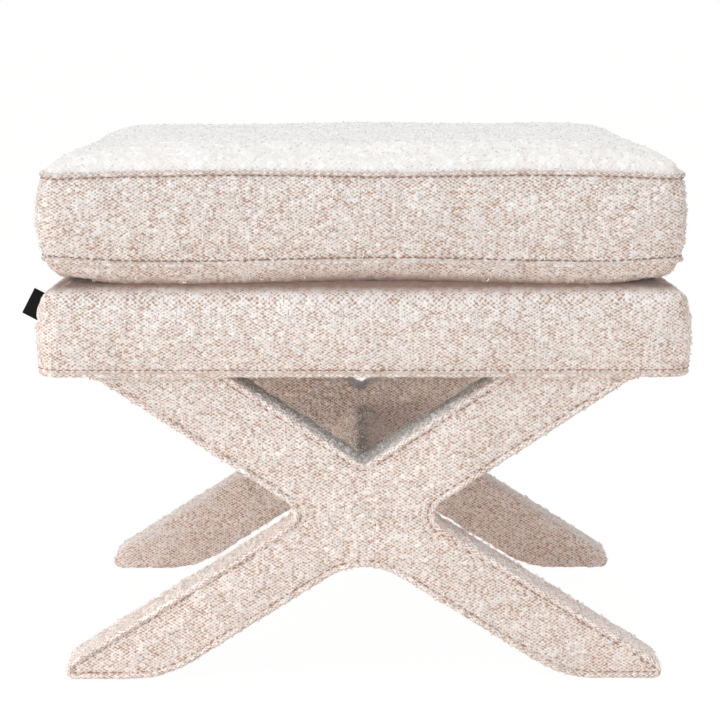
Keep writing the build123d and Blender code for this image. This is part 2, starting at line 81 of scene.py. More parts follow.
def ranged(tree, value, start=0.0, stop=1.0, low=0.0, high=1.0, kind="LINEAR"):  # start to stop becomes low to high
    inputs = {"Value": value, "From Min": start, "From Max": stop, "To Min": low, "To Max": high}
    return firstOf(tree, "ShaderNodeMapRange", inputs, interpolation_type=kind)


def blend(tree, share, first, second, kind="MIX"):  # two colours, each a hex code or a node's output
    first, second = (linear(c) if isinstance(c, str) else c for c in (first, second))
    return addNode(tree, "ShaderNodeMix", {0: share, 6: first, 7: second}, data_type="RGBA", blend_type=kind)[2]


def objectSpace(tree):
    return addNode(tree, "ShaderNodeTexCoord")["Object"]


def newMaterial(name, **values):  # a Principled surface with plain values, ready for its pattern
    material = bpy.data.materials.new(name)
    material.use_nodes = True
    surface = material.node_tree.nodes["Principled BSDF"]
    for label, value in values.items():
        surface.inputs[label.replace("_", " ")].default_value = value
    return material, material.node_tree, surface


def paint(tree, surface, colour, height=None, strength=0.0, distance=0.0):  # a colour and, with a height, a bump
    tree.links.new(colour, surface.inputs["Base Color"])
    if height is not None:
        bump = firstOf(tree, "ShaderNodeBump", {"Strength": strength, "Distance": distance, "Height": height})
        tree.links.new(bump, surface.inputs["Normal"])


def mottled(name, grainMm, detail, dark, light, gloss=None, **values):  # a surface that drifts between two colours
    material, tree, surface = newMaterial(name, **values)
    grain = noise(tree, objectSpace(tree), grainMm, detail)
    paint(tree, surface, blend(tree, grain, dark, light))
    if gloss:
        tree.links.new(ranged(tree, grain, low=gloss[0], high=gloss[1]), surface.inputs["Roughness"])
    return material


def newTree(name, **inputs):  # a Geometry Nodes tree with named inputs, and its group input's sockets
    tree = bpy.data.node_groups.new(name, "GeometryNodeTree")
    kinds = {type(None): "NodeSocketMaterial", str: "NodeSocketString", float: "NodeSocketFloat"}
    tree.interface.new_socket("Geometry", in_out="INPUT", socket_type="NodeSocketGeometry")
    for label, value in inputs.items():
        socket = tree.interface.new_socket(label, in_out="INPUT", socket_type=kinds[type(value)])
        if value is not None:
            socket.default_value = value
    tree.interface.new_socket("Geometry", in_out="OUTPUT", socket_type="NodeSocketGeometry")
    return tree, addNode(tree, "NodeGroupInput")


def closeTree(tree, geometry, material):
    made = firstOf(tree, "GeometryNodeRealizeInstances", {"Geometry": geometry})
    painted = firstOf(tree, "GeometryNodeSetMaterial", {"Geometry": made, "Material": material})
    addNode(tree, "NodeGroupOutput", {"Geometry": painted})


def namedField(tree, name, kind="FLOAT"):
    return addNode(tree, "GeometryNodeInputNamedAttribute", {"Name": name}, data_type=kind)["Attribute"]


def storeField(tree, geometry, name, value, kind="FLOAT", domain="POINT"):
    inputs = {"Geometry": geometry, "Name": name, "Value": value}
    return firstOf(tree, "GeometryNodeStoreNamedAttribute", inputs, data_type=kind, domain=domain)


def beadTree(name, kind, bead, size=(), turned=True, **inputs):  # one bead per pitch along a line
    tree, given = newTree(name, **inputs, Material=None)
    line = firstOf(tree, "GeometryNodeMeshToCurve", {0: given["Geometry"]})
    spots = addNode(tree, "GeometryNodeCurveToPoints", {"Curve": line, "Length": given["Pitch"]}, mode="LENGTH")
    setting = {"Points": spots["Points"], "Instance": firstOf(tree, kind, bead)}
    if turned:
        setting["Rotation"] = spots["Rotation"]
    if size:
        setting["Scale"] = firstOf(tree, "ShaderNodeCombineXYZ", {n: given[label] for n, label in enumerate(size)})
    closeTree(tree, firstOf(tree, "GeometryNodeInstanceOnPoints", setting), given["Material"])
    return tree


# Small tools for pieces

def addPiece(name, data):
    piece = bpy.data.objects.new(name, data)
    scene.collection.objects.link(piece)
    return piece


def makePiece(name, points, faces, edges=(), weave=None, **marks):
    mesh = bpy.data.meshes.new(name)
    mesh.from_pydata([tuple(p) for p in points], list(edges), [tuple(f) for f in faces])
    if weave is not None:
        mesh.uv_layers.new(name="weave").uv.foreach_set("vector", np.asarray(weave, np.float32).ravel())
    for label, values in marks.items():
        mark = mesh.attributes.new(label, "FLOAT", "POINT")
        mark.data.foreach_set("value", np.asarray(values, np.float32))
    mesh.shade_smooth()
    return addPiece(name, mesh)


def settle(piece):  # turns the modifiers' result into the piece's plain mesh
    graph = bpy.context.evaluated_depsgraph_get()
    mesh = bpy.data.meshes.new_from_object(
        piece.evaluated_get(graph), preserve_all_data_layers=True, depsgraph=graph
    )
    piece.modifiers.clear()
    piece.data = mesh
    mesh.shade_smooth()


def runTree(piece, tree, **values):  # the tree's result as the piece's own plain mesh
    modifier = piece.modifiers.new(tree.name, "NODES")
    modifier.node_group = tree
    for item in tree.interface.items_tree:
        if item.in_out == "INPUT" and item.name in values:
            modifier[item.identifier] = values[item.name]
    settle(piece)


def placesOf(mesh):
    flat = np.zeros(len(mesh.vertices) * 3, np.float32)
    mesh.vertices.foreach_get("co", flat)
    return flat.reshape(-1, 3).astype(float)


def attach(piece, body, slot, *replaced):
    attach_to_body(piece, body)
    if replaced:
        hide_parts(*replaced)


# Boucle: cream wool loops with clay specks between them and thick slubs, a soft white cloth with a warm grain

boucle = {
    "columnMm": 2.65, "rowMm": 3.1, "jitterMm": 0.5, "speckMm": 3.4, "patchMm": 21.0, "nubMm": 6.5,
    "dashMm": (1.8, 13.0), "toneMm": 70.0, "nubHeight": 0.0016, "nubBase": 0.25, "nubRim": (0.75, 0.1),
    "speckShare": 3.2, "patchShare": 0.9, "speckRange": (1.25, 3.4), "dashRange": (0.66, 0.78), "dashDepth": 0.55,
    # on the cushion's top panel most of the clay ground is painted away: a painted highlight for the bright top
    "paintedTopPaling": 0.8, "nubCover": 0.35, "toneRange": (0.3, 0.7), "toneLow": 0.94, "sink": 0.3, "bump": 0.0012,
    # the darker clay serves the thread dashes and the painted shade in the crevice and beside the welts
    "cream": "#F5F3F3", "loopShade": "#ECE8E6", "clay": "#B28C77", "dashAndShadeClay": "#8A604E",
}


def nubPattern(tree, weave):  # slubs that stand proud: the same ones shape the mesh and lighten its colour
    inputs = {"Vector": weave, "Scale": 1000 / boucle["nubMm"]}
    cells = addNode(tree, "ShaderNodeTexVoronoi", inputs, voronoi_dimensions="2D")
    chance = firstOf(tree, "ShaderNodeSeparateXYZ", {0: cells["Color"]})
    return ranged(tree, cells["Distance"], *boucle["nubRim"], high=chance, kind="SMOOTHSTEP"), chance


def speckPattern(tree, weave):  # clay specks between the loops, each column set down by half a row
    b = boucle
    jitter = noise(tree, weave, 2 * b["speckMm"], 1.0, "Color", flat=True)
    shake = (b["jitterMm"] / 250,) * 3
    moved = firstOf(tree, "ShaderNodeVectorMath", {0: jitter, 1: shake, 2: weave}, operation="MULTIPLY_ADD")
    waves = []
    for axis, pitch in ((0, 2 * b["columnMm"]), (1, b["rowMm"])):
        turn = [0, 0, 0]
        turn[axis] = 2000 * math.pi / pitch
        phase = addNode(tree, "ShaderNodeVectorMath", {0: moved, 1: turn}, operation="DOT_PRODUCT")["Value"]
        waves.append(maths(tree, "COSINE", phase))
    total = grid = maths(tree, "MULTIPLY", *waves)
    for size, share in ((b["speckMm"], b["speckShare"]), (b["patchMm"], b["patchShare"])):
        total = maths(tree, "MULTIPLY_ADD", noise(tree, weave, size, 1.0, flat=True), share, total)
    return ranged(tree, total, *b["speckRange"], kind="SMOOTHSTEP"), grid


def boucleMaterial():  # looped wool on a clay ground: dull and soft, with a warm grain and dark thread dashes, a top panel painted paler as a painted highlight, and darker clay as painted shade in the crevice under the cushion and beside the welts
    b = boucle
    material, tree, surface = newMaterial(
        "cream wool boucle", Roughness=0.95, Specular_IOR_Level=0.1, Sheen_Weight=0.5, Sheen_Roughness=0.4)
    weave = firstOf(tree, "ShaderNodeUVMap", uv_map="weave")
    seam, top = (addNode(tree, "ShaderNodeAttribute", attribute_name=n)["Fac"] for n in ("seam", "pileTop"))
    nubs, chance = nubPattern(tree, weave)
    specks, grid = speckPattern(tree, weave)
    stretch = tuple(1000 / s for s in b["dashMm"]) + (0,)
    drawn = firstOf(tree, "ShaderNodeVectorMath", {0: weave, 1: stretch}, operation="MULTIPLY")
    dashes = ranged(tree, noise(tree, drawn, 1000, 1.0, flat=True), *b["dashRange"], high=b["dashDepth"])
    clayKeptUnderTopLight = maths(tree, "MULTIPLY_ADD", top, -b["paintedTopPaling"], 1.0)  # painted highlight: most of the clay ground on the top panel is painted away, so the top reads pale like a brightly lit top
    parted = maths(tree, "MULTIPLY_ADD", nubs, -b["nubCover"], specks, use_clamp=True)
    bare = maths(tree, "MULTIPLY", parted, clayKeptUnderTopLight)
    # dark thread dashes, joined by the band of painted shade, both in the darker clay
    deep = maths(tree, "MAXIMUM", maths(tree, "MULTIPLY", dashes, clayKeptUnderTopLight), seam)
    loops = blend(tree, chance, b["loopShade"], b["cream"])
    ground = blend(tree, deep, b["clay"], b["dashAndShadeClay"])
    colour = blend(tree, maths(tree, "MAXIMUM", bare, deep), loops, ground)
    cloud = noise(tree, objectSpace(tree), b["toneMm"], 3.0)
    toned = blend(tree, 1.0, colour, ranged(tree, cloud, *b["toneRange"], low=b["toneLow"]), "MULTIPLY")
    paint(tree, surface, toned, maths(tree, "MULTIPLY_ADD", grid, -b["sink"], nubs), 0.5, b["bump"])
    return material


def pushOut(tree, geometry, weave, height, mark=1.0):  # moves cloth along its normals where a slub stands
    lift = maths(tree, "SUBTRACT", nubPattern(tree, weave)[0], boucle["nubBase"])
    held = maths(tree, "MULTIPLY", maths(tree, "MULTIPLY", lift, height), mark)
    normal = firstOf(tree, "GeometryNodeInputNormal")
    offset = firstOf(tree, "ShaderNodeVectorMath", {0: normal, "Scale": held}, operation="SCALE")
    return firstOf(tree, "GeometryNodeSetPosition", {"Geometry": geometry, "Offset": offset})


creamBoucle = boucleMaterial()
napTree, napIn = newTree("boucleNap", Nub=boucle["nubHeight"], Material=None)
napWeave = namedField(napTree, "weave", "FLOAT_VECTOR")
napMoved = pushOut(napTree, napIn["Geometry"], napWeave, napIn["Nub"], namedField(napTree, "nap"))
closeTree(napTree, napMoved, napIn["Material"])


def raiseNap(piece):  # a finer mesh, nubby at its rim
    smooth = piece.modifiers.new("smooth", "SUBSURF")
    smooth.levels = smooth.render_levels = 1
    runTree(piece, napTree, Nub=boucle["nubHeight"], Material=creamBoucle)


# Pile: single yarn loops that stand on the cloth, so that its rim is curly and a flat view of it is nearly white

pile = {
    "density": 24000.0, "radius": 0.00125, "yarn": 0.00052, "lean": 0.5, "foot": 0.0003, "sizes": (0.65, 1.35),
    "start": -0.35, "sweep": 3.84, "seed": 4,
}


def pileNodes():
    p, lean = pile, pile["lean"]
    tree, given = newTree(
        "loopPile", Mark="pile", Density=p["density"], Radius=p["radius"], Yarn=p["yarn"], Material=None)
    share = maths(tree, "MULTIPLY", namedField(tree, given["Mark"]), given["Density"])
    spots = addNode(tree, "GeometryNodeDistributePointsOnFaces", {
        "Mesh": given["Geometry"], "Density": share, "Seed": p["seed"]})
    spin = firstOf(tree, "FunctionNodeRandomValue", {
        0: (-lean, -lean, 0), 1: (lean, lean, math.tau), "Seed": 1}, data_type="FLOAT_VECTOR")
    turn = firstOf(tree, "FunctionNodeEulerToRotation", {"Euler": spin})
    facing = firstOf(tree, "FunctionNodeRotateRotation", {
        "Rotation": spots["Rotation"], "Rotate By": turn}, rotation_space="LOCAL")
    arc = firstOf(tree, "GeometryNodeCurveArc", {
        "Resolution": 4, "Radius": given["Radius"], "Start Angle": p["start"], "Sweep Angle": p["sweep"]})
    ring = firstOf(tree, "GeometryNodeCurvePrimitiveCircle", {"Resolution": 3, "Radius": given["Yarn"]})
    loop = firstOf(tree, "GeometryNodeCurveToMesh", {"Curve": arc, "Profile Curve": ring})
    upright = firstOf(tree, "GeometryNodeTransform", {
        "Geometry": loop, "Translation": (0, 0, p["foot"]), "Rotation": (math.pi / 2, 0, 0)})
    low, high = p["sizes"]
    size = addNode(tree, "FunctionNodeRandomValue", {2: low, 3: high, "Seed": 2}, data_type="FLOAT")[1]
    made = firstOf(tree, "GeometryNodeInstanceOnPoints", {
        "Points": spots["Points"], "Instance": upright, "Rotation": facing, "Scale": size})
    closeTree(tree, made, given["Material"])
    return tree


pileTree = pileNodes()
# Wool yarn: soft cream, with a little shade from loop to loop
creamYarn = mottled("cream wool yarn", 4.0, 2.0, "#EFE9E6", "#FAF9F7", Roughness=0.95, Specular_IOR_Level=0.1,
                    Sheen_Weight=0.4, Sheen_Roughness=0.4)


def standPile(name, cover, body, density=pile["density"], mark="pile", radius=pile["radius"]):
    piece = addPiece(name, cover.data.copy())
    runTree(piece, pileTree, Mark=mark, Density=density, Radius=radius, Material=creamYarn)
    attach(piece, body, "boucle")
    print(name, len(piece.data.polygons), "faces")


# Padding: cloth under air pressure, with the sewn seams held

sewnCloth = {"quality": 3, "mass": 0.2, "stiffness": 20, "bending": 2, "steps": 12}


def puff(piece, held, pressure, cap):
    start = placesOf(piece.data)
    piece.vertex_groups.new(name="seams").add([int(i) for i in held], 1.0, "REPLACE")
    modifier = piece.modifiers.new("puff", "CLOTH")
    cloth = modifier.settings
    cloth.quality, cloth.mass, cloth.bending_stiffness = (sewnCloth[n] for n in ("quality", "mass", "bending"))
    cloth.tension_stiffness = cloth.compression_stiffness = sewnCloth["stiffness"]
    cloth.use_pressure, cloth.uniform_pressure_force = True, pressure
    cloth.vertex_group_mass = "seams"
    cloth.effector_weights.gravity = 0
    modifier.collision_settings.use_collision = False
    for step in range(sewnCloth["steps"]):
        scene.frame_set(step + 1)
    settled = piece.evaluated_get(bpy.context.evaluated_depsgraph_get())
    shift = placesOf(settled.to_mesh()) - start
    settled.to_mesh_clear()
    piece.modifiers.remove(modifier)
    scene.frame_set(1)
    far = np.linalg.norm(shift, axis=1, keepdims=True)
    moved = start + shift * np.minimum(1, cap / np.maximum(far, 1e-9))
    piece.data.vertices.foreach_set("co", moved.astype(np.float32).ravel())
    piece.data.update()
    piece.vertex_groups.clear()
    print("puffed", piece.name, "by up to", round(float(min(far.max(), cap)) * 1000, 1), "mm")


# Closed boxes of quads for the cushion and the platform

def boxSheet(nx, ny, nz):  # lattice places, faces with their panels, and the ring of side columns
    index, places, faces, panels = {}, [], [], []

    def at(*key):
        if key not in index:
            index[key] = len(places)
            places.append(key)
        return index[key]

    for i in range(nx):
        for j in range(ny):
            faces.append([at(i, j, nz), at(i + 1, j, nz), at(i + 1, j + 1, nz), at(i, j + 1, nz)])
            faces.append([at(i, j, 0), at(i, j + 1, 0), at(i + 1, j + 1, 0), at(i + 1, j, 0)])
            panels += [1, -1]
    ring = [(0, j) for j in range(ny, 0, -1)] + [(i, 0) for i in range(nx)]
    ring += [(nx, j) for j in range(ny)] + [(i, ny) for i in range(nx, 0, -1)]
    for a, b in zip(ring, ring[1:] + ring[:1]):
        for k in range(nz):
            faces.append([at(*a, k), at(*b, k), at(*b, k + 1), at(*a, k + 1)])
            panels.append(0)
    return {"lattice": np.array(places), "faces": np.array(faces), "panels": np.array(panels), "ring": ring,
            "index": index, "levels": nz}


def levelLine(sheet, places, level):  # the places round the box at one level
    return places[[sheet["index"][(*a, level)] for a in sheet["ring"]]]


def ramp(value, run):  # 0 up to the start, 1 from run on
    return np.clip(value / run, 0, 1)


def roundCorners(x, y, hx, hy, r):  # squeezes a rectangle's corner squares into quarter discs
    p, q = ramp(np.abs(x) - hx + r, r), ramp(np.abs(y) - hy + r, r)
    both = (p > 0) & (q > 0)
    nx = np.where(both, hx - r + r * p * np.sqrt(1 - q * q / 2), np.abs(x))
    ny = np.where(both, hy - r + r * q * np.sqrt(1 - p * p / 2), np.abs(y))
    return np.sign(x) * nx, np.sign(y) * ny


def rimDistance(x, y, hx, hy, r):  # how far inside a rectangle with rounded corners
    qx, qy = np.abs(x) - hx + r, np.abs(y) - hy + r
    return np.maximum(r - np.hypot(np.maximum(qx, 0), np.maximum(qy, 0)) - np.minimum(np.maximum(qx, qy), 0), 0)


def boxWeave(sheet, places, shift, hang=0):  # each panel's own flat cut, in metres
    lattice, faces, ring = sheet["lattice"], sheet["faces"], sheet["ring"]
    line = levelLine(sheet, places, 1)
    steps = np.linalg.norm(np.roll(line, -1, 0) - line, axis=1)
    along, length = dict(zip(ring, np.cumsum(steps) - steps)), steps.sum()
    weave = np.zeros((len(faces), 4, 2))
    flat = sheet["panels"] != 0
    spread = places[:, :2].copy()
    if hang:  # the lower panel's rim stands almost upright, so its cut is longer than it looks from below
        inset = np.abs(spread).max(0) - np.abs(spread)
        nearest = np.arange(len(places)), np.argmin(inset, axis=1)
        drop = np.where(lattice[:, 2] == 0, hang - places[:, 2], 0)
        longer = np.sqrt(inset[nearest] ** 2 + drop ** 2) - inset[nearest]
        spread[nearest] -= np.sign(spread[nearest]) * longer
    weave[flat] = spread[faces[flat]]
    for n in np.flatnonzero(~flat):
        runs = [along[tuple(lattice[v][:2])] for v in faces[n]]
        runs = [length if r == 0 and max(runs) > length / 2 else r for r in runs]
        weave[n] = [(r, places[v][2]) for r, v in zip(runs, faces[n])]
    return weave + shift


def swell(distance, run, power, start=0.5):  # 0 at a seam, 1 from run inwards, with an upright start
    return (1 - (1 - ramp(distance, run)) ** power) ** start


def joined(a, b):  # the smaller of two swells, with a soft turn between them
    a, b = np.maximum(a, 1e-4), np.maximum(b, 1e-4)
    return (a ** -3 + b ** -3 - 1) ** (-1 / 3)


def ring01(distance, start, full, stop):  # 0 outside start, 1 at full, 0 again from stop inwards
    return ramp(distance - start, full - start) * ramp(stop - distance, stop - full)


def fade(value, half, run):  # 1 within half of the middle, 0 from run beyond it
    return ramp(half + run - np.abs(value), run)


def boxGrid(box, low, high):  # a box's sheet, each point's plan place and level, and on which side it lies
    hx, hy = box["halfWide"], box["halfDeep"]
    nx, ny, nz = (round(length / box["cell"]) for length in (2 * hx, 2 * hy, high - low))
    sheet = boxSheet(nx, ny, nz)
    i, j, k = sheet["lattice"].T
    x, y = roundCorners((2 * i / nx - 1) * hx, (2 * j / ny - 1) * hy, hx, hy, box["corner"])
    return sheet, x, y, k / nz, (i == nx) * 1 - (i == 0), (j == ny) * 1 - (j == 0)


# Cushion: box cushion, crowned above and below, its sides drawn in between the corners

cushion = {
    "cell": 0.0055, "halfWide": 0.295, "halfDeep": 0.231, "corner": 0.019, "draw": 0.004, "rightIn": 0.003,
    "lowerSeam": 0.3978, "upperSeam": 0.4778, "lowerWave": 0.0016, "upperWave": 0.0008, "lowerDip": 0.0027,
    "upperDip": 0.00225, "dipRun": 0.07, "crown": 0.0217, "crownRun": 0.13, "crownPower": 9.0, "endPower": 4.0,
    "endStart": 0.3, "crownTilt": 0.06, "belly": 0.0165, "bellyRun": 0.022, "bellyPower": 2.5, "lip": 0.0075,
    "lipRing": (0, 0.018, 0.07), "bulge": 0.0065, "bulgePower": 2.5, "lean": 0.0012, "pressure": 3.0, "cap": 0.006,
    # a ring of painted shade on the underside stands for the shadow in the crevice over the platform's edge
    "clayShadeBand": (0.004, 0.018, 0.05), "creaseShade": 0.9, "loopRim": 0.012, "topDensity": 12000.0, "topRadius": 0.0006,
    "zipHalf": 0.226, "zipReach": 0.0145, "zipFace": 0.0024, "zipHeight": 0.4378, "zipEnd": 0.012, "zipEdge": 0.007,
    "cut": (0.31, 0.17),
}
strips = {
    "wide": 0.025, "long": 0.24, "apart": 0.15, "tape": 0.0007, "platformTop": 0.3781, "cushionBase": 0.3812,
    "margin": 0.004, "marginRun": 0.005,
}


def underStrips(x, y):  # 1 where a fastening strip lies
    m, run = strips["margin"], strips["marginRun"]
    return fade(np.abs(x) - strips["apart"], strips["wide"] / 2 + m, run) * fade(y, strips["long"] / 2 + m, run)


def cushionForm():
    c = cushion
    hx, hy = c["halfWide"], c["halfDeep"]
    sheet, x, y, t, ends, fronts = boxGrid(c, c["lowerSeam"], c["upperSeam"])
    edge, top, bottom = (ends != 0) | (fronts != 0), t == 1, t == 0
    inset, fromEnd, fromFront = rimDistance(x, y, hx, hy, c["corner"]), hx - np.abs(x), hy - np.abs(y)
    rise = joined(swell(fromEnd, c["crownRun"], c["endPower"], c["endStart"]),
                  swell(fromFront, c["crownRun"], c["crownPower"]))
    rise = np.minimum(rise, swell(inset, c["crownRun"], c["crownPower"])) * (1 + c["crownTilt"] * x / hx)
    sag = [swell(d, c["bellyRun"], c["bellyPower"]) for d in (fromEnd, fromFront, inset)]
    sag = np.minimum(sag[0] * sag[1], sag[2])
    corner = (1 - ramp(fromEnd, c["dipRun"])) * (1 - ramp(fromFront, c["dipRun"]))
    lower = c["lowerSeam"] + c["lowerWave"] * np.sin(x * 17 + 1.2) + c["lowerDip"] * corner  # sewn by hand, not ruled
    upper = c["upperSeam"] + c["upperWave"] * np.sin(x * 23 + y * 9) - c["upperDip"] * corner
    droop = c["belly"] + c["lip"] * ring01(inset, *c["lipRing"]) * (1 - corner)  # hangs over the platform's edge
    z = lower + t * (upper - lower)
    z = z + np.where(top, c["crown"] * rise, 0) - np.where(bottom, droop * sag, 0)
    zipped = fade(x, c["zipHalf"], c["zipEnd"]) * (fronts > 0) * fade(z - c["zipHeight"], c["zipReach"], c["zipEdge"])
    out = c["bulge"] * (1 - np.abs(2 * t - 1) ** c["bulgePower"])
    side = np.where(edge & ~top & ~bottom, out * (1 - zipped) + c["zipFace"] * zipped, 0)
    lean = c["lean"] / c["bulge"]
    px = x * (1 - c["draw"] / hx * (1 - (y / hy) ** 2)) - c["rightIn"] * np.clip(x / hx, 0, 1)
    px = px + side * (ends - lean * np.abs(ends))
    py = y * np.where(y < 0, 1 - c["draw"] / hy * (1 - (x / hx) ** 2), 1)
    py = py + side * fronts
    strip = underStrips(x, y) * bottom
    held = np.flatnonzero((edge & (bottom | top)) | (zipped > 0.2) | (strip > 0))
    # painted shade: a clay ring on the underside for the dark crevice where the cushion hangs over the platform
    clayShadeBand = np.where(bottom & ~edge, ring01(inset, *c["clayShadeBand"]), 0) * c["creaseShade"]
    loops = np.where(bottom, 1 - ramp(inset, c["loopRim"]), 1) * ~top * (1 - zipped) * (1 - strip)
    # the top mark sets the top panel's loops and the painted paling of its colour
    marks = {"nap": 1 - np.maximum(zipped, strip), "seam": clayShadeBand, "pile": loops, "pileTop": top}
    return sheet, np.stack([px, py, z], 1), held, marks


sheet, places, held, marks = cushionForm()
cushionWeave = boxWeave(sheet, places, cushion["cut"], cushion["lowerSeam"])
lowSeam, highSeam = (levelLine(sheet, places, k) for k in (0, sheet["levels"]))
cushionCover = makePiece("cushionCover", places, sheet["faces"], weave=cushionWeave, **marks)
puff(cushionCover, held, cushion["pressure"], cushion["cap"])
raiseNap(cushionCover)
attach(cushionCover, "cushion", "boucle", "cushion_foam", "cushion_top_wadding", "cushion_bottom_wadding",
       "cushion_top_panel", "cushion_bottom_panel", "cushion_boxing")
standPile("cushionSideLoops", cushionCover, "cushion")
standPile("cushionTopLoops", cushionCover, "cushion", cushion["topDensity"], "pileTop", cushion["topRadius"])
print("cushion cover:", len(cushionCover.data.polygons), "faces")


# Platform: padded box with a soft roll round its top edge

platform = {
    "cell": 0.0056, "halfWide": 0.300, "halfDeep": 0.235, "corner": 0.022, "hem": 0.2912, "sideTop": 0.360,
    "roll": 0.012, "rollRun": 0.016, "crown": 0.006, "crownRun": 0.09, "bulge": 0.0035, "pressure": 2.0, "cap": 0.003,
    # a ring of painted shade round the top stands for the shadow in the crevice under the cushion
    "deckIn": 0.06, "clayShadeBand": (0.004, 0.018, 0.06), "creaseShade": 0.9, "cut": (0.77, 0.41),
}


def platformForm():
    p = platform
    sheet, x, y, t, ends, fronts = boxGrid(p, p["hem"], p["sideTop"])
    edge, top, bottom = (ends != 0) | (fronts != 0), t == 1, t == 0
    fromEnd, fromFront = p["halfWide"] - np.abs(x), p["halfDeep"] - np.abs(y)
    inset = np.minimum(fromEnd, fromFront)
    roll = swell(fromEnd, p["rollRun"], 2) * swell(fromFront, p["rollRun"], 2)
    crown = ramp(fromEnd, p["crownRun"]) * ramp(fromFront, p["crownRun"])
    z = p["hem"] + t * (p["sideTop"] - p["hem"]) + np.where(top, p["roll"] * roll + p["crown"] * crown, 0)
    side = np.where(edge, p["bulge"] * (1 - np.abs(2 * t - 1) ** 2), 0)
    held = np.flatnonzero(bottom | (top & ~edge & (inset > p["deckIn"])))
    # painted shade: a clay band round the top for the crevice under the cushion, which shows as a brown band when the
    # cushion is lifted
    clayShadeBand = np.where(top, ring01(inset, *p["clayShadeBand"]), 0) * p["creaseShade"]
    nap = (1 - underStrips(x, y) * top) * ~bottom
    marks = {"nap": nap, "seam": clayShadeBand, "pile": ~top & ~bottom}  # no loops in the crevice under the cushion
    return sheet, np.stack([x + side * ends, y + side * fronts, z], 1), held, marks


sheet, places, held, marks = platformForm()
platformWeave = boxWeave(sheet, places, platform["cut"])
platformHem = levelLine(sheet, places, 0)
platformCover = makePiece("platformCover", places, sheet["faces"], weave=platformWeave, **marks)
puff(platformCover, held, platform["pressure"], platform["cap"])
platformStitchLine = levelLine(sheet, placesOf(platformCover.data), 1)  # on the swollen side, just above the hem
raiseNap(platformCover)
attach(platformCover, "base", "boucle", "platform_cover", "platform_foam", "edge_wadding")
standPile("platformLoops", platformCover, "base")
print("platform cover:", len(platformCover.data.polygons), "faces")


# Leg frames: a crossed outline with rounded corners, as four arms round a middle patch

legs = {
    "cell": 0.0042, "faceOut": 0.2298, "faceIn": 0.1782, "puff": 0.0012, "puffRun": 0.014,
    "topApex": (0, 207.4, 8), "armInner": (124.3, 290, 0), "armOuter": (249, 290, 0),
    "sideApex": (53.5, 160.1, 14), "toeTop": (281, 15.8, 10), "toe": (281, 2, 5), "heel": (188.9, 2, 110),
    "arch": (0, 121.9, 62), "armTop": 0.29, "armSlope": 1.505, "armLift": 0.0006, "armClear": 0.009,
    # beside the welt a band of painted shade for the seam groove, partly the clay ground where the loops are sewn down
    "seamRing": (0.002, 0.0055, 0.009), "seamShade": 0.32, "sole": 0.006, "density": 22000.0,
    "weltIn": 0.0026, "weltSunk": 0.0006, "stitchIn": 0.0062, "stitchProud": 0.0004, "weld": 5e-6,
}


def bend(before, corner, after, steps=9):  # the arc that rounds a corner given in mm with its radius, as points
    c, r = np.array(corner[:2], float) / 1000, corner[2] / 1000
    a, b = (np.array(p[:2], float) / 1000 - c for p in (before, after))
    a, b = a / np.linalg.norm(a), b / np.linalg.norm(b)
    half = math.acos(np.clip(a @ b, -1, 1)) / 2
    middle = c + (a + b) / np.linalg.norm(a + b) * r / math.sin(half)
    reach = r / math.tan(half)
    start, stop = c + a * reach - middle, c + b * reach - middle
    turn = math.acos(np.clip(start @ stop / r ** 2, -1, 1))
    return np.array([
        middle + (math.sin(turn * (1 - s)) * start + math.sin(turn * s) * stop) / math.sin(turn)
        for s in np.linspace(0, 1, steps)
    ])


def lengthOf(line):
    return np.linalg.norm(np.diff(line, axis=0), axis=1).sum()


def spaced(points, count):  # the same line with evenly spaced points
    points = np.asarray(points, float)
    run = np.concatenate([[0], np.cumsum(np.linalg.norm(np.diff(points, axis=0), axis=1))])
    at = np.linspace(0, run[-1], count + 1)
    return np.stack([np.interp(at, run, points[:, d]) for d in range(points.shape[1])], 1)


def coons(bottom, top, left, right):  # quads between four edge lines
    u = np.linspace(0, 1, len(bottom))[:, None, None]
    v = np.linspace(0, 1, len(left))[None, :, None]
    ruled = (1 - v) * bottom[:, None] + v * top[:, None] + (1 - u) * left[None] + u * right[None]
    return ruled - ((1 - u) * ((1 - v) * bottom[0] + v * top[0]) + u * ((1 - v) * bottom[-1] + v * top[-1]))


def crossPatches():
    g = legs
    flipped = {name: (-g[name][0], *g[name][1:]) for name in ("armInner", "heel")}
    top = bend(flipped["armInner"], g["topApex"], g["armInner"])
    arch = bend(flipped["heel"], g["arch"], g["heel"])
    side = bend(g["armOuter"], g["sideApex"], g["toeTop"])
    toeTop = bend(g["sideApex"], g["toeTop"], g["toe"])
    toe = bend(g["toeTop"], g["toe"], g["heel"])
    heel = bend(g["toe"], g["heel"], g["arch"])
    m = len(top) // 2
    upperEnd = np.array([g["armInner"][:2], g["armOuter"][:2]]) / 1000
    upperA = np.concatenate([top[m:], upperEnd[:1]])
    upperB = np.concatenate([side[m::-1], upperEnd[1:]])
    lowerA = np.concatenate([side[m:], toeTop[:m + 1]])
    lowerEnd = np.concatenate([toeTop[m:], toe, heel[:m + 1]])
    lowerB = np.concatenate([arch[m:], heel[:m - 1:-1]])
    across = round(np.linalg.norm(top[m] - side[m]) / g["cell"])
    nUp, nLow = (round(lengthOf(line) / g["cell"]) for line in (upperB, lowerA))
    upperStart, lowerStart = spaced([top[m], side[m]], across), spaced([side[m], arch[m]], across)
    right = [
        coons(spaced(upperA, nUp), spaced(upperB, nUp), upperStart, spaced(upperEnd, across)),
        coons(spaced(lowerA, nLow), spaced(lowerB, nLow), lowerStart, spaced(lowerEnd, across)),
    ]
    mirror = np.array([-1, 1])
    middle = coons(lowerStart * mirror, upperStart, (upperStart * mirror)[::-1], lowerStart[::-1])
    return right + [patch * mirror for patch in right] + [middle]


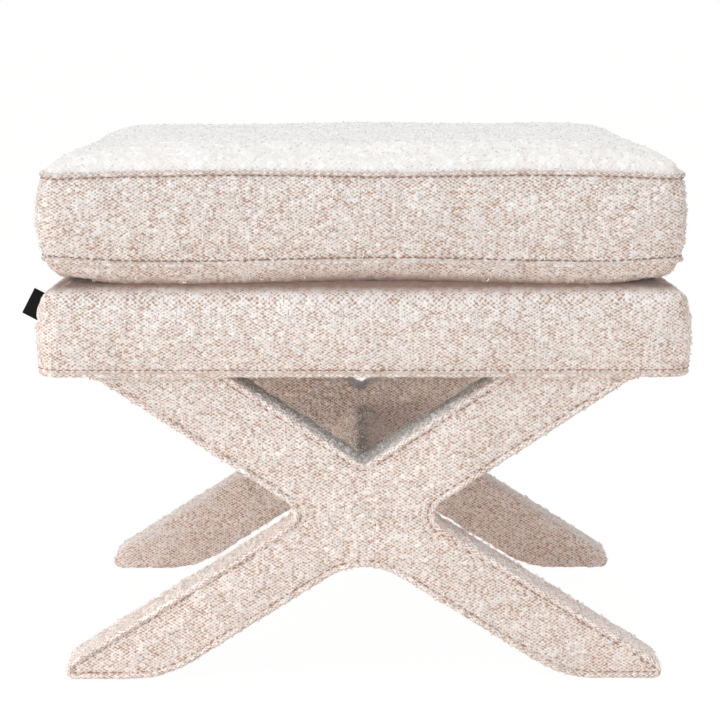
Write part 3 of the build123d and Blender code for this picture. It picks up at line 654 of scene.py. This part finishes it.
def crossSheet():  # one flat sheet of quads, and its rim in order
    index, points, faces = {}, [], []
    for patch in crossPatches():
        nu, nv = patch.shape[:2]
        ids = np.zeros((nu, nv), int)
        for u in range(nu):
            for v in range(nv):
                key = tuple(np.round(patch[u, v] * 1e6).astype(int) // round(legs["weld"] * 1e6))
                if key not in index:
                    index[key] = len(points)
                    points.append(patch[u, v])
                ids[u, v] = index[key]
        for u in range(nu - 1):
            for v in range(nv - 1):
                quad = [ids[u, v], ids[u + 1, v], ids[u + 1, v + 1], ids[u, v + 1]]
                a, b, c = (points[q] for q in quad[:3])
                turn = (b[0] - a[0]) * (c[1] - b[1]) - (b[1] - a[1]) * (c[0] - b[0])
                faces.append(quad if turn > 0 else quad[::-1])
    edges = {(f[n], f[(n + 1) % 4]) for f in faces for n in range(4)}
    follow = {a: b for a, b in edges if (b, a) not in edges}
    rim = [min(follow)]
    while follow[rim[-1]] != rim[0]:
        rim.append(follow[rim[-1]])
    return np.array(points), faces, rim


crossPoints, crossFaces, crossRim = crossSheet()
print("leg outline:", len(crossPoints), "points,", len(crossRim), "on the rim")
rimTree = kdtree.KDTree(len(crossRim))
for n, v in enumerate(crossRim):
    rimTree.insert((*crossPoints[v], 0), n)
rimTree.balance()
crossInset = np.array([rimTree.find((*p, 0))[2] for p in crossPoints])


def frameForm(sign, shift):  # sign -1 is the front frame, 1 the rear one
    g = legs
    size, count = len(crossPoints), len(crossRim)
    rows = round((g["faceOut"] - g["faceIn"]) / g["cell"])
    swelling = g["puff"] * (1 - np.exp(-crossInset / g["puffRun"]))
    points = [(x, sign * (g["faceOut"] + s), z) for (x, z), s in zip(crossPoints, swelling)]
    points += [(x, sign * (g["faceIn"] - s), z) for (x, z), s in zip(crossPoints, swelling)]
    rim = crossPoints[crossRim]
    run = np.concatenate([[0], np.cumsum(np.linalg.norm(np.roll(rim, -1, 0) - rim, axis=1))])
    band = {}
    for n, v in enumerate(crossRim):
        band[n, 0], band[n, rows] = v, v + size
        for r in range(1, rows):
            band[n, r] = len(points)
            depth = g["faceOut"] + (g["faceIn"] - g["faceOut"]) * r / rows
            points.append((crossPoints[v][0], sign * depth, crossPoints[v][1]))
    faces, weave = [], []  # the outer face, the inner face and the band are three cuts, set apart in the weave
    for f in crossFaces:
        faces.append(f if sign < 0 else f[::-1])
        faces.append([v + size for v in (f[::-1] if sign < 0 else f)])
        weave += [[crossPoints[v % size] for v in faces[-2]], [crossPoints[v % size] + 0.9 for v in faces[-1]]]
    for n in range(count):
        m = (n + 1) % count
        for r in range(rows):
            quad = [(n, r), (n, r + 1), (m, r + 1), (m, r)]
            cut = [(run[n if q[0] == n else n + 1], q[1] * g["cell"] + 2) for q in quad]
            faces.append([band[q] for q in quad][::-sign])
            weave.append(cut[::-sign])
    return np.array(points), faces, np.array(weave) + shift


def frameCover(side, sign, shift):
    points, faces, weave = frameForm(sign, shift)
    clayShadeBand = np.zeros(len(points))
    clayShadeBand[:len(crossInset)] = legs["seamShade"] * ring01(crossInset, *legs["seamRing"])  # painted shade of the seam groove beside the welt, partly the clay ground where the loops are sewn down
    clayShadeBand[points[:, 2] > legs["armTop"] - legs["armClear"]] = 0
    loops = (1 - clayShadeBand) * (points[:, 2] > legs["sole"])  # none under the soles
    cover = makePiece(side + "FrameCover", points, faces, weave=weave, nap=np.ones(len(points)), seam=clayShadeBand,
                      pile=loops)
    raiseNap(cover)
    attach(cover, "base", "boucle", *[f"{side}_frame_{n}" for n in ("padding", "face_panel", "wrap")])
    standPile(side + "FrameLoops", cover, "base", legs["density"])
    print(cover.name, len(cover.data.polygons), "faces")


frameCover("front", -1, (0.0, 0.0))
frameCover("rear", 1, (0.43, 0.29))


# Stretcher: a padded square bar on its corner, between the crossings

stretcher = {"side": 0.052, "corner": 0.011, "height": 0.159, "half": 0.1785, "cell": 0.0042, "bulge": 0.0012}


def stretcherForm():
    s = stretcher
    h, r = s["side"] / 2, s["corner"]
    arc = [(h - r + r * math.sin(a), h - r + r * math.cos(a)) for a in np.linspace(0, math.pi / 2, 9)]
    quarter = np.array([(0, h)] + arc + [(h, 0)])
    angles = [-math.pi / 2 * n for n in range(4)]
    turns = [np.array([[math.cos(a), -math.sin(a)], [math.sin(a), math.cos(a)]]) for a in angles]
    loop = np.concatenate([(quarter @ t.T)[:-1] for t in turns])
    loop = np.concatenate([loop, loop[:1]])
    count = round(lengthOf(loop) / s["cell"])
    loop = spaced(loop, count)[:-1]
    flat = np.clip(np.abs(np.abs(loop[:, 0]) - np.abs(loop[:, 1])) / h, 0, 1)
    loop = loop * (1 + s["bulge"] / h * flat)[:, None]
    lean = math.sqrt(0.5)
    cross = np.stack([(loop[:, 0] - loop[:, 1]) * lean, (loop[:, 0] + loop[:, 1]) * lean + s["height"]], 1)
    rows = round(2 * s["half"] / s["cell"])
    ys = np.linspace(-s["half"], s["half"], rows + 1)
    points = [(x, y, z) for y in ys for x, z in cross]
    faces, weave = [], []
    for row in range(rows):
        for n in range(count):
            corners = ((n, row), (n + 1, row), (n + 1, row + 1), (n, row + 1))
            faces.append([b * count + a % count for a, b in corners])
            weave += [(a * s["cell"], b * s["cell"]) for a, b in corners]
    for row, order in ((0, -1), (rows, 1)):  # closed ends, out of sight against the frames
        middle = len(points)
        points.append((0, ys[row], s["height"]))
        faces += [[row * count + n, row * count + (n + 1) % count, middle][::order] for n in range(count)]
        weave += [(0, 0)] * 3 * count
    return points, faces, weave


def turnOutwards(work, mesh):  # makes the faces look outwards and puts them into the mesh
    bmesh.ops.recalc_face_normals(work, faces=work.faces)
    work.to_mesh(mesh)
    work.free()


points, faces, weave = stretcherForm()
everywhere = np.ones(len(points))
stretcherCover = makePiece("stretcherCover", points, faces, weave=weave, nap=everywhere, seam=0 * everywhere,
                           pile=everywhere)
work = bmesh.new()
work.from_mesh(stretcherCover.data)
turnOutwards(work, stretcherCover.data)
raiseNap(stretcherCover)
attach(stretcherCover, "base", "boucle", "stretcher_cover", "stretcher_padding")
standPile("stretcherLoops", stretcherCover, "base")


# Welts and stitches follow the seams

welt = {"round": 0.0026, "sides": 10, "step": 0.0026, "nub": 0.0009, "out": 0.0008, "up": 0.0012,
        "hemRound": 0.0031, "hemOut": -0.0006, "hemUp": 0.003}
stitch = {"pitch": 0.0072, "length": 0.005, "thick": 0.0012, "out": 0.0018, "up": 0.0022, "hemOut": 0.0012,
          "hemUp": 0.0016}


def weltNodes():
    tree, given = newTree("rolledWelt", Round=welt["round"], Step=welt["step"], Nub=welt["nub"], Material=None)
    line = firstOf(tree, "GeometryNodeMeshToCurve", {0: given["Geometry"]})
    even = firstOf(tree, "GeometryNodeResampleCurve", {"Curve": line, "Length": given["Step"]}, mode="LENGTH")
    ring = firstOf(tree, "GeometryNodeCurvePrimitiveCircle", {"Resolution": welt["sides"], "Radius": given["Round"]})
    run = addNode(tree, "GeometryNodeSplineParameter")["Length"]
    rail, profile = storeField(tree, even, "run", run), storeField(tree, ring, "turn", run)
    tube = firstOf(tree, "GeometryNodeCurveToMesh", {"Curve": rail, "Profile Curve": profile})
    cut = firstOf(tree, "ShaderNodeCombineXYZ", {0: namedField(tree, "run"), 1: namedField(tree, "turn")})
    moved = pushOut(tree, tube, cut, given["Nub"])
    closeTree(tree, storeField(tree, moved, "weave", cut, "FLOAT2", "CORNER"), given["Material"])
    return tree


weltTree = weltNodes()
stitchTree = beadTree("runningStitch", "GeometryNodeMeshUVSphere", {"Segments": 6, "Rings": 5, "Radius": 0.5},
                      ("Thick", "Thick", "Length"), Pitch=stitch["pitch"], Length=stitch["length"],
                      Thick=stitch["thick"])
# Spun polyester sewing thread: a dull clay line with a fine twist
clayThread = mottled("clay sewing thread", 1 / 0.9, 2.0, "#8C6250", "#B18D7B", Roughness=0.8, Specular_IOR_Level=0.2)


def seamPiece(name, line, tree, body, slot, material, *replaced, **sizes):  # runs a tree along a closed line
    count = len(line)
    piece = makePiece(name, line, [], edges=[(n, (n + 1) % count) for n in range(count)])
    runTree(piece, tree, Material=material, **sizes)
    attach(piece, body, slot, *replaced)


def weltPiece(name, line, body, node, **sizes):
    seamPiece(name, line, weltTree, body, "boucle_welt", creamBoucle, node, **sizes)


def stitchPiece(name, line, body):
    seamPiece(name, line, stitchTree, body, "boucle_welt", clayThread)


def sideways(line):  # unit steps to the right of a closed flat line
    ahead = np.roll(line, -1, 0) - np.roll(line, 1, 0)
    side = np.stack([ahead[:, 1], -ahead[:, 0]], 1)
    return side / np.linalg.norm(side, axis=1, keepdims=True)


def grown(line, out, up):  # a level seam line moved outwards and upwards
    return line + np.column_stack([sideways(line[:, :2]) * out, np.full(len(line), up)])


def rimLine(inset, depth):  # the leg outline drawn in by inset, at a depth
    rim, armTop = crossPoints[crossRim], legs["armTop"]
    moved = rim - sideways(rim) * inset
    lift = np.where(rim[:, 1] > armTop - 0.0001, armTop + legs["armLift"] - moved[:, 1], 0)  # up the arm, out of sight
    moved = moved + np.stack([np.sign(moved[:, 0]) * lift * legs["armSlope"], lift], 1)
    return np.stack([moved[:, 0], np.full(len(moved), depth), moved[:, 1]], 1)


weltPiece("cushionTopWelt", grown(highSeam, welt["out"], welt["up"]), "cushion", "cushion_top_welt")
weltPiece("cushionBottomWelt", grown(lowSeam, welt["out"], -welt["up"]), "cushion", "cushion_bottom_welt")
stitchPiece("cushionTopStitches", grown(highSeam, stitch["out"], -stitch["up"]), "cushion")
stitchPiece("cushionBottomStitches", grown(lowSeam, stitch["out"], stitch["up"]), "cushion")
weltPiece("platformWelt", grown(platformHem, welt["hemOut"], welt["hemUp"]), "base", "platform_welt",
          Round=welt["hemRound"])
stitchPiece("platformStitches", grown(platformStitchLine, stitch["hemOut"], stitch["hemUp"]), "base")
for side, sign in (("front", -1), ("rear", 1)):
    weltDepth, stitchDepth = legs["faceOut"] - legs["weltSunk"], legs["faceOut"] + legs["stitchProud"]
    weltPiece(side + "FrameWelt", rimLine(legs["weltIn"], sign * weltDepth), "base", side + "_frame_welt")
    stitchPiece(side + "FrameStitches", rimLine(legs["stitchIn"], sign * stitchDepth), "base")
print("welts and stitches made")


# Tapes and sheets: flat cloth pieces with a little thickness

def gridSheet(name, rows, thick, material):  # quads between rows of points, then thickened both ways
    rows = np.asarray(rows, float)
    count, across = rows.shape[:2]
    faces = [[a * across + b, a * across + b + 1, (a + 1) * across + b + 1, (a + 1) * across + b]
             for a in range(count - 1) for b in range(across - 1)]
    piece = makePiece(name, rows.reshape(-1, 3), faces)
    wall = piece.modifiers.new("wall", "SOLIDIFY")
    wall.thickness, wall.offset, wall.use_even_offset = thick, 0, True
    settle(piece)
    piece.data.materials.append(material)
    return piece


def wovenMaterial(name, warp, weft, threadMm, roughness, sheen):  # plain weave: threads over and under, a fine check
    material, tree, surface = newMaterial(
        name, Roughness=roughness, Specular_IOR_Level=0.12, Sheen_Weight=sheen, Sheen_Roughness=0.4)
    place = objectSpace(tree)
    turned = firstOf(tree, "ShaderNodeMapping", {"Vector": place, "Rotation": (0, 0.49, 0)})
    threads = addNode(tree, "ShaderNodeTexChecker", {
        "Vector": turned, "Scale": 1000 / threadMm, "Color1": linear(warp), "Color2": linear(weft)})
    worn = ranged(tree, noise(tree, place, 3 * threadMm, 3.0), 0.3, 0.7, 0.85)
    paint(tree, surface, blend(tree, 1.0, threads["Color"], worn, "MULTIPLY"), threads["Fac"], 0.4, 0.0002)
    return material


# Tab: black tape folded in two and sewn into the side
tab = {
    "wide": 0.026, "deep": 0.024, "fold": 0.0007, "thick": 0.0005, "top": (-0.3043, 0.3715), "depth": -0.211,
    "along": (-0.4696, -0.883), "out": (-0.883, 0.4696), "curl": 0.0012,
}


def tabRows():
    fold, deep, (ax, az), (ox, oz) = tab["fold"], tab["deep"], tab["along"], tab["out"]
    steps = np.linspace(-deep, -fold, 10)
    turn = np.linspace(-math.pi / 2, math.pi / 2, 7)[1:-1]
    profile = [(v, -fold) for v in steps] + [(fold * (math.cos(a) - 1), fold * math.sin(a)) for a in turn]
    profile += [(v, fold) for v in steps[::-1]]
    rows = []
    for v, y in profile:
        bow = tab["curl"] * (v / deep + 1) ** 2
        rows.append([(tab["top"][0] + ax * w + ox * v, tab["depth"] + y - bow * (1 - w / tab["wide"]),
                      tab["top"][1] + az * w + oz * v) for w in np.linspace(0, tab["wide"], 14)])
    return rows


# Black satin tape: near black, with a thread that catches a little light
blackTape = wovenMaterial("black woven tape", "#070708", "#121213", 0.5, 0.6, 0.03)
sideTab = gridSheet("sideTab", tabRows(), tab["thick"], blackTape)
attach(sideTab, "base", "black_woven_tape", "woven_label")

# Dust cover: black spunbond cloth, puckered along its rim and stapled under the platform
dust = {
    "halfWide": 0.283, "halfDeep": 0.218, "height": 0.2905, "thick": 0.0004, "pucker": 0.0002, "puckerRun": 0.03,
    "staplePitch": 0.038, "stapleInset": 0.008, "stapleRound": 0.00055, "stapleLong": 0.0105, "stapleDrop": 0.0003,
}


def spunbondMaterial():  # pressed fibres: matt black with a grid of small welded dimples
    material, tree, surface = newMaterial("black spunbond polypropylene", Roughness=0.85, Specular_IOR_Level=0.3,
                                          Sheen_Weight=0.2, Sheen_Roughness=0.5)
    place = objectSpace(tree)
    dimples = addNode(tree, "ShaderNodeTexVoronoi", {
        "Vector": place, "Scale": 1000 / 2.4, "Randomness": 0.15})["Distance"]
    fibres = noise(tree, place, 6.0, 6.0, Roughness=0.7)
    paint(tree, surface, blend(tree, fibres, "#0E0E0F", "#2B2B2D"), dimples, 0.5, 0.0003)
    return material


def dustRows():
    hx, hy, pull = dust["halfWide"], dust["halfDeep"], math.tau / dust["staplePitch"]
    x, y = np.meshgrid(np.linspace(-hx, hx, 91), np.linspace(-hy, hy, 71))
    nearX, nearY = np.exp(-(hx - abs(x)) / dust["puckerRun"]), np.exp(-(hy - abs(y)) / dust["puckerRun"])
    z = dust["height"] + dust["pucker"] * (nearY * np.cos(pull * x) + nearX * np.cos(pull * y))
    return np.stack([x, y, z], 2)


dustCover = gridSheet("dustCover", dustRows(), dust["thick"], spunbondMaterial())
attach(dustCover, "base", "black_nonwoven", "dust_cover")

# Plated steel: bright, with fine unevenness
brightZinc = mottled("bright zinc plated steel", 2.0, 4.0, "#A9ACB0", "#C8CACC", (0.28, 0.5), Metallic=1.0)
nickel = mottled("nickel plated zinc", 1.2, 4.0, "#B2ADA6", "#CFCAC3", (0.2, 0.42), Metallic=1.0)
stapleTree = beadTree("staples", "GeometryNodeMeshCylinder", {
    "Vertices": 8, "Radius": dust["stapleRound"], "Depth": dust["stapleLong"]}, Pitch=dust["staplePitch"])
rimX, rimY = dust["halfWide"] - dust["stapleInset"], dust["halfDeep"] - dust["stapleInset"]
rimZ = dust["height"] - dust["stapleDrop"]
cornerSigns = ((-1, -1), (1, -1), (1, 1), (-1, 1))  # the signs of a rectangle's corners, in order
stapleRim = [(sx * rimX, sy * rimY, rimZ) for sx, sy in cornerSigns]
seamPiece("dustCoverStaples", stapleRim, stapleTree, "base", "zinc_steel", brightZinc)
print("tab, dust cover and staples made")


# Zip: woven tape, moulded coil, slider and pull

zipper = {
    "half": 0.2247, "low": 0.4240, "high": 0.4516, "middle": 0.4378, "tapeFace": 0.2345, "thick": 0.0008,
    "chainHalf": 0.2125, "coilFace": 0.2352, "pitch": 0.0022, "rowGap": 0.0022, "coil": (0.0015, 0.0013, 0.0032),
}
zipRows = [[(x, zipper["tapeFace"], z) for x in np.linspace(-zipper["half"], zipper["half"], 46)]
           for z in np.linspace(zipper["high"], zipper["low"], 8)]
zipCloth = wovenMaterial("woven polyester zip tape", "#D9CCC3", "#C8B9AE", 0.9, 0.75, 0.2)
zipTape = gridSheet("zipTape", zipRows, zipper["thick"], zipCloth)
attach(zipTape, "cushion", "zip_tape", "zip_tape")

# Nylon coil: smooth, a little shiny, with slightly uneven dye
coilNylon = mottled("moulded nylon coil", 8.0, 2.0, "#CDBDB1", "#DED1C7", Roughness=0.42, IOR=1.53)
coilSize = dict(zip(("Wide", "Deep", "High"), zipper["coil"]))
coilTree = beadTree("zipCoil", "GeometryNodeMeshUVSphere", {"Segments": 8, "Rings": 5, "Radius": 0.5},
                    tuple(coilSize), turned=False, Pitch=zipper["pitch"], **coilSize)
coilEnds = []
for side, slide in ((1, 0), (-1, zipper["pitch"] / 2)):
    for x in (-zipper["chainHalf"], zipper["chainHalf"] - zipper["pitch"]):
        coilEnds.append((x + slide, zipper["coilFace"], zipper["middle"] + side * zipper["rowGap"] / 2))
zipCoil = makePiece("zipCoil", coilEnds, [], edges=[(0, 1), (2, 3)])
runTree(zipCoil, coilTree, Material=coilNylon)
attach(zipCoil, "cushion", "zip_nylon", "zip_chain")


def eased(name, node, width, slot, material):  # the CAD shape with its edges rounded, on the body of the same name
    piece = addPiece(name, nodes[node].data.copy())
    work = bmesh.new()
    work.from_mesh(piece.data)
    bmesh.ops.remove_doubles(work, verts=work.verts, dist=1e-5)
    bmesh.ops.dissolve_limit(work, angle_limit=0.02, verts=work.verts, edges=work.edges)
    work.to_mesh(piece.data)
    work.free()
    rounding = piece.modifiers.new("rounding", "BEVEL")
    rounding.width, rounding.segments, rounding.limit_method, rounding.angle_limit = width, 3, "ANGLE", 0.6
    settle(piece)
    piece.data.materials.clear()
    piece.data.materials.append(material)
    attach(piece, node, slot, node)


eased("zipSlider", "zip_slider", 0.0006, "zip_metal", nickel)
eased("zipPull", "zip_pull", 0.0004, "zip_metal", nickel)
print("zip made")


# Hook and loop strips between platform and cushion

bristle = {"density": 220000.0, "hookRadius": 0.00035, "hookYarn": 0.00012, "loopRadius": 0.00038, "loopYarn": 0.0001}


def stripPair(name, height, material):
    us, vs = (np.linspace(-strips[n] / 2, strips[n] / 2, count) for n, count in (("wide", 6), ("long", 41)))
    middles = (-strips["apart"], strips["apart"])
    pair = [gridSheet(name, [[(x + u, v, height) for u in us] for v in vs], strips["tape"], material) for x in middles]
    work = bmesh.new()
    for piece in pair:
        work.from_mesh(piece.data)
    bpy.data.objects.remove(pair[1])
    pair[0].name = name
    turnOutwards(work, pair[0].data)
    pair[0].data.shade_smooth()
    return pair[0]


stripCloth = wovenMaterial("woven nylon strip", "#E6E0D9", "#D6CEC5", 0.7, 0.6, 0.3)
hookStrips = stripPair("hookStrips", strips["platformTop"] + strips["tape"] / 2, stripCloth)
attach(hookStrips, "base", "hook_loop", "hook_strips")
loopStrips = stripPair("loopStrips", strips["cushionBase"] - strips["tape"] / 2, stripCloth)
attach(loopStrips, "cushion", "hook_loop", "loop_strips")


def bristles(name, carrier, face, radius, yarn, body):  # small hooks or loops on the strips' working faces
    normals = np.zeros(len(carrier.data.vertices) * 3, np.float32)
    carrier.data.vertices.foreach_get("normal", normals)
    piece = addPiece(name, carrier.data.copy())
    mark = piece.data.attributes.new("pile", "FLOAT", "POINT")
    mark.data.foreach_set("value", (normals.reshape(-1, 3)[:, 2] * face > 0).astype(np.float32))
    runTree(piece, pileTree, Mark="pile", Density=bristle["density"], Radius=radius, Yarn=yarn, Material=stripCloth)
    attach(piece, body, "hook_loop")


bristles("stripHooks", hookStrips, 1, bristle["hookRadius"], bristle["hookYarn"], "base")
bristles("stripLoops", loopStrips, -1, bristle["loopRadius"], bristle["loopYarn"], "cushion")
print("fastening strips made")


# Finishes of the frame parts that stay as they are

def timberMaterial(name, early, late, ringMm):  # planed timber: long streaks of darker late wood along the board
    material, tree, surface = newMaterial(name, Roughness=0.62, Specular_IOR_Level=0.35)
    stretch = (1000 / ringMm / 22, 1000 / ringMm, 1000 / ringMm)
    drawn = firstOf(tree, "ShaderNodeVectorMath", {0: objectSpace(tree), 1: stretch}, operation="MULTIPLY")
    band = ranged(tree, noise(tree, drawn, 1000, 5.0, Distortion=0.6), 0.35, 0.65)
    paint(tree, surface, blend(tree, band, early, late), band, 0.25, 0.0004)
    return material


# Brown nylon: satin, with a faint mottle from the mould
brownNylon = mottled("moulded brown nylon", 3.0, 3.0, "#33261F", "#4A3930", (0.4, 0.6), IOR=1.53)
finishes = {
    "pine": timberMaterial("planed pine", "#DDB987", "#B98C57", 5.0),
    "plywood": timberMaterial("sanded birch plywood", "#D9BC92", "#C2A071", 9.0),
    "beech": timberMaterial("planed beech", "#CFA27A", "#B5835B", 3.0),
    "zinc_steel": brightZinc, "zip_metal": nickel, "nylon": brownNylon, "boucle": creamBoucle,
    "boucle_welt": creamBoucle,
}
for part in frame["record"]["subparts"]:
    finish = finishes.get(part["material_slot"])
    for place in nodes[part["node"]].material_slots if finish else ():
        place.material = finish
print("finishes set")


# Floor, light and camera

backdrop = {"ambient": 0.615, "tint": "#FCFEFF", "floorHalf": 60, "floorTint": "#E9DDD4", "glow": 1.035, "share": 0.94}
lamps = {
    "key": {"place": (-1.6, -1.8, 2.2), "size": 1.8, "power": 24.0, "tint": "#F8FCFF", "aim": (0, 0, 0.3)},
    "overhead": {"place": (0.0, 0.0, 2.6), "size": 2.4, "power": 18.0, "tint": "#FBFFFC", "aim": (0, 0, 0.3)},
    "left": {"place": (-2.6, -0.8, 0.12), "size": 0.4, "power": 1.2, "tint": "#FFE2CC", "aim": (0, 0, 0), "spread": 26},
    "right": {"place": (2.6, -0.8, 0.12), "size": 0.4, "power": 0.45, "tint": "#FFC7A6", "aim": (0, 0, 0),
              "spread": 26},
    "low": {"place": (0.0, -2.6, 0.12), "size": 0.5, "power": 7.4, "tint": "#F6FCFC", "aim": (0, 0, 0.2)},
    "front": {"place": (-0.3, -2.8, 0.6), "size": 0.8, "power": 6.5, "tint": "#F9FEFB", "aim": (0, 0, 0.45)},
    "rear": {"place": (0.9, 2.6, 1.2), "size": 1.4, "power": 17.0, "tint": "#FCFCFF", "aim": (0, 0, 0.3)},
}


def seenDirectly(tree):  # 1 for what the camera sees, also in a mirror or through glass
    path = addNode(tree, "ShaderNodeLightPath")
    seen = maths(tree, "MAXIMUM", path["Is Camera Ray"], path["Is Glossy Ray"])
    return maths(tree, "MAXIMUM", seen, path["Is Transmission Ray"])


def floorMaterial():  # matte white paper sweep: plain white, with a faint shadow under the object
    material, tree, surface = newMaterial("white paper sweep", Roughness=1.0, Specular_IOR_Level=0.0)
    surface.inputs["Base Color"].default_value = linear(backdrop["floorTint"])
    share = maths(tree, "MULTIPLY", seenDirectly(tree), backdrop["share"])
    glow = firstOf(tree, "ShaderNodeEmission", {"Strength": backdrop["glow"]})
    mixed = firstOf(tree, "ShaderNodeMixShader", {0: share, 1: surface.outputs[0], 2: glow})
    tree.links.new(mixed, tree.nodes["Material Output"].inputs["Surface"])
    return material


half = backdrop["floorHalf"]
floor = makePiece("floor", [(sx * half, sy * half, 0) for sx, sy in cornerSigns], [(0, 1, 2, 3)])
floor.data.materials.append(floorMaterial())

world = bpy.data.worlds.new("studio")
scene.world = world
world.use_nodes = True
sky = world.node_tree
direct = seenDirectly(sky)
skyInputs = sky.nodes["Background"].inputs
sky.links.new(blend(sky, direct, backdrop["tint"], "#FFFFFF"), skyInputs["Color"])
sky.links.new(ranged(sky, direct, low=backdrop["ambient"]), skyInputs["Strength"])


def softBox(name, place, size, power, tint, aim, spread=180):  # a round diffused lamp, aimed at the object
    lamp = bpy.data.lights.new(name + "SoftBox", "AREA")
    lamp.shape, lamp.size, lamp.energy, lamp.color = "DISK", size, power, linear(tint)[:3]
    lamp.spread = math.radians(spread)
    holder = addPiece(name + "SoftBox", lamp)
    holder.location = place
    holder.rotation_euler = (Vector(aim) - Vector(place)).to_track_quat("-Z", "Y").to_euler()


for name, box in lamps.items():
    softBox(name, **box)

photoView = {"lens": 103.6, "sensor": 36.0, "place": (-0.0155, -2.116, 0.6074), "pitch": 9.06, "yaw": -0.355}
cameraData = bpy.data.cameras.new("photoCamera")
cameraData.lens, cameraData.sensor_width = photoView["lens"], photoView["sensor"]
camera = addPiece("photoCamera", cameraData)
camera.location = photoView["place"]
camera.rotation_euler = (math.radians(90 - photoView["pitch"]), 0, math.radians(photoView["yaw"]))
scene.camera = camera
scene.view_settings.view_transform = "Standard"
print("floor, lamps and camera set")
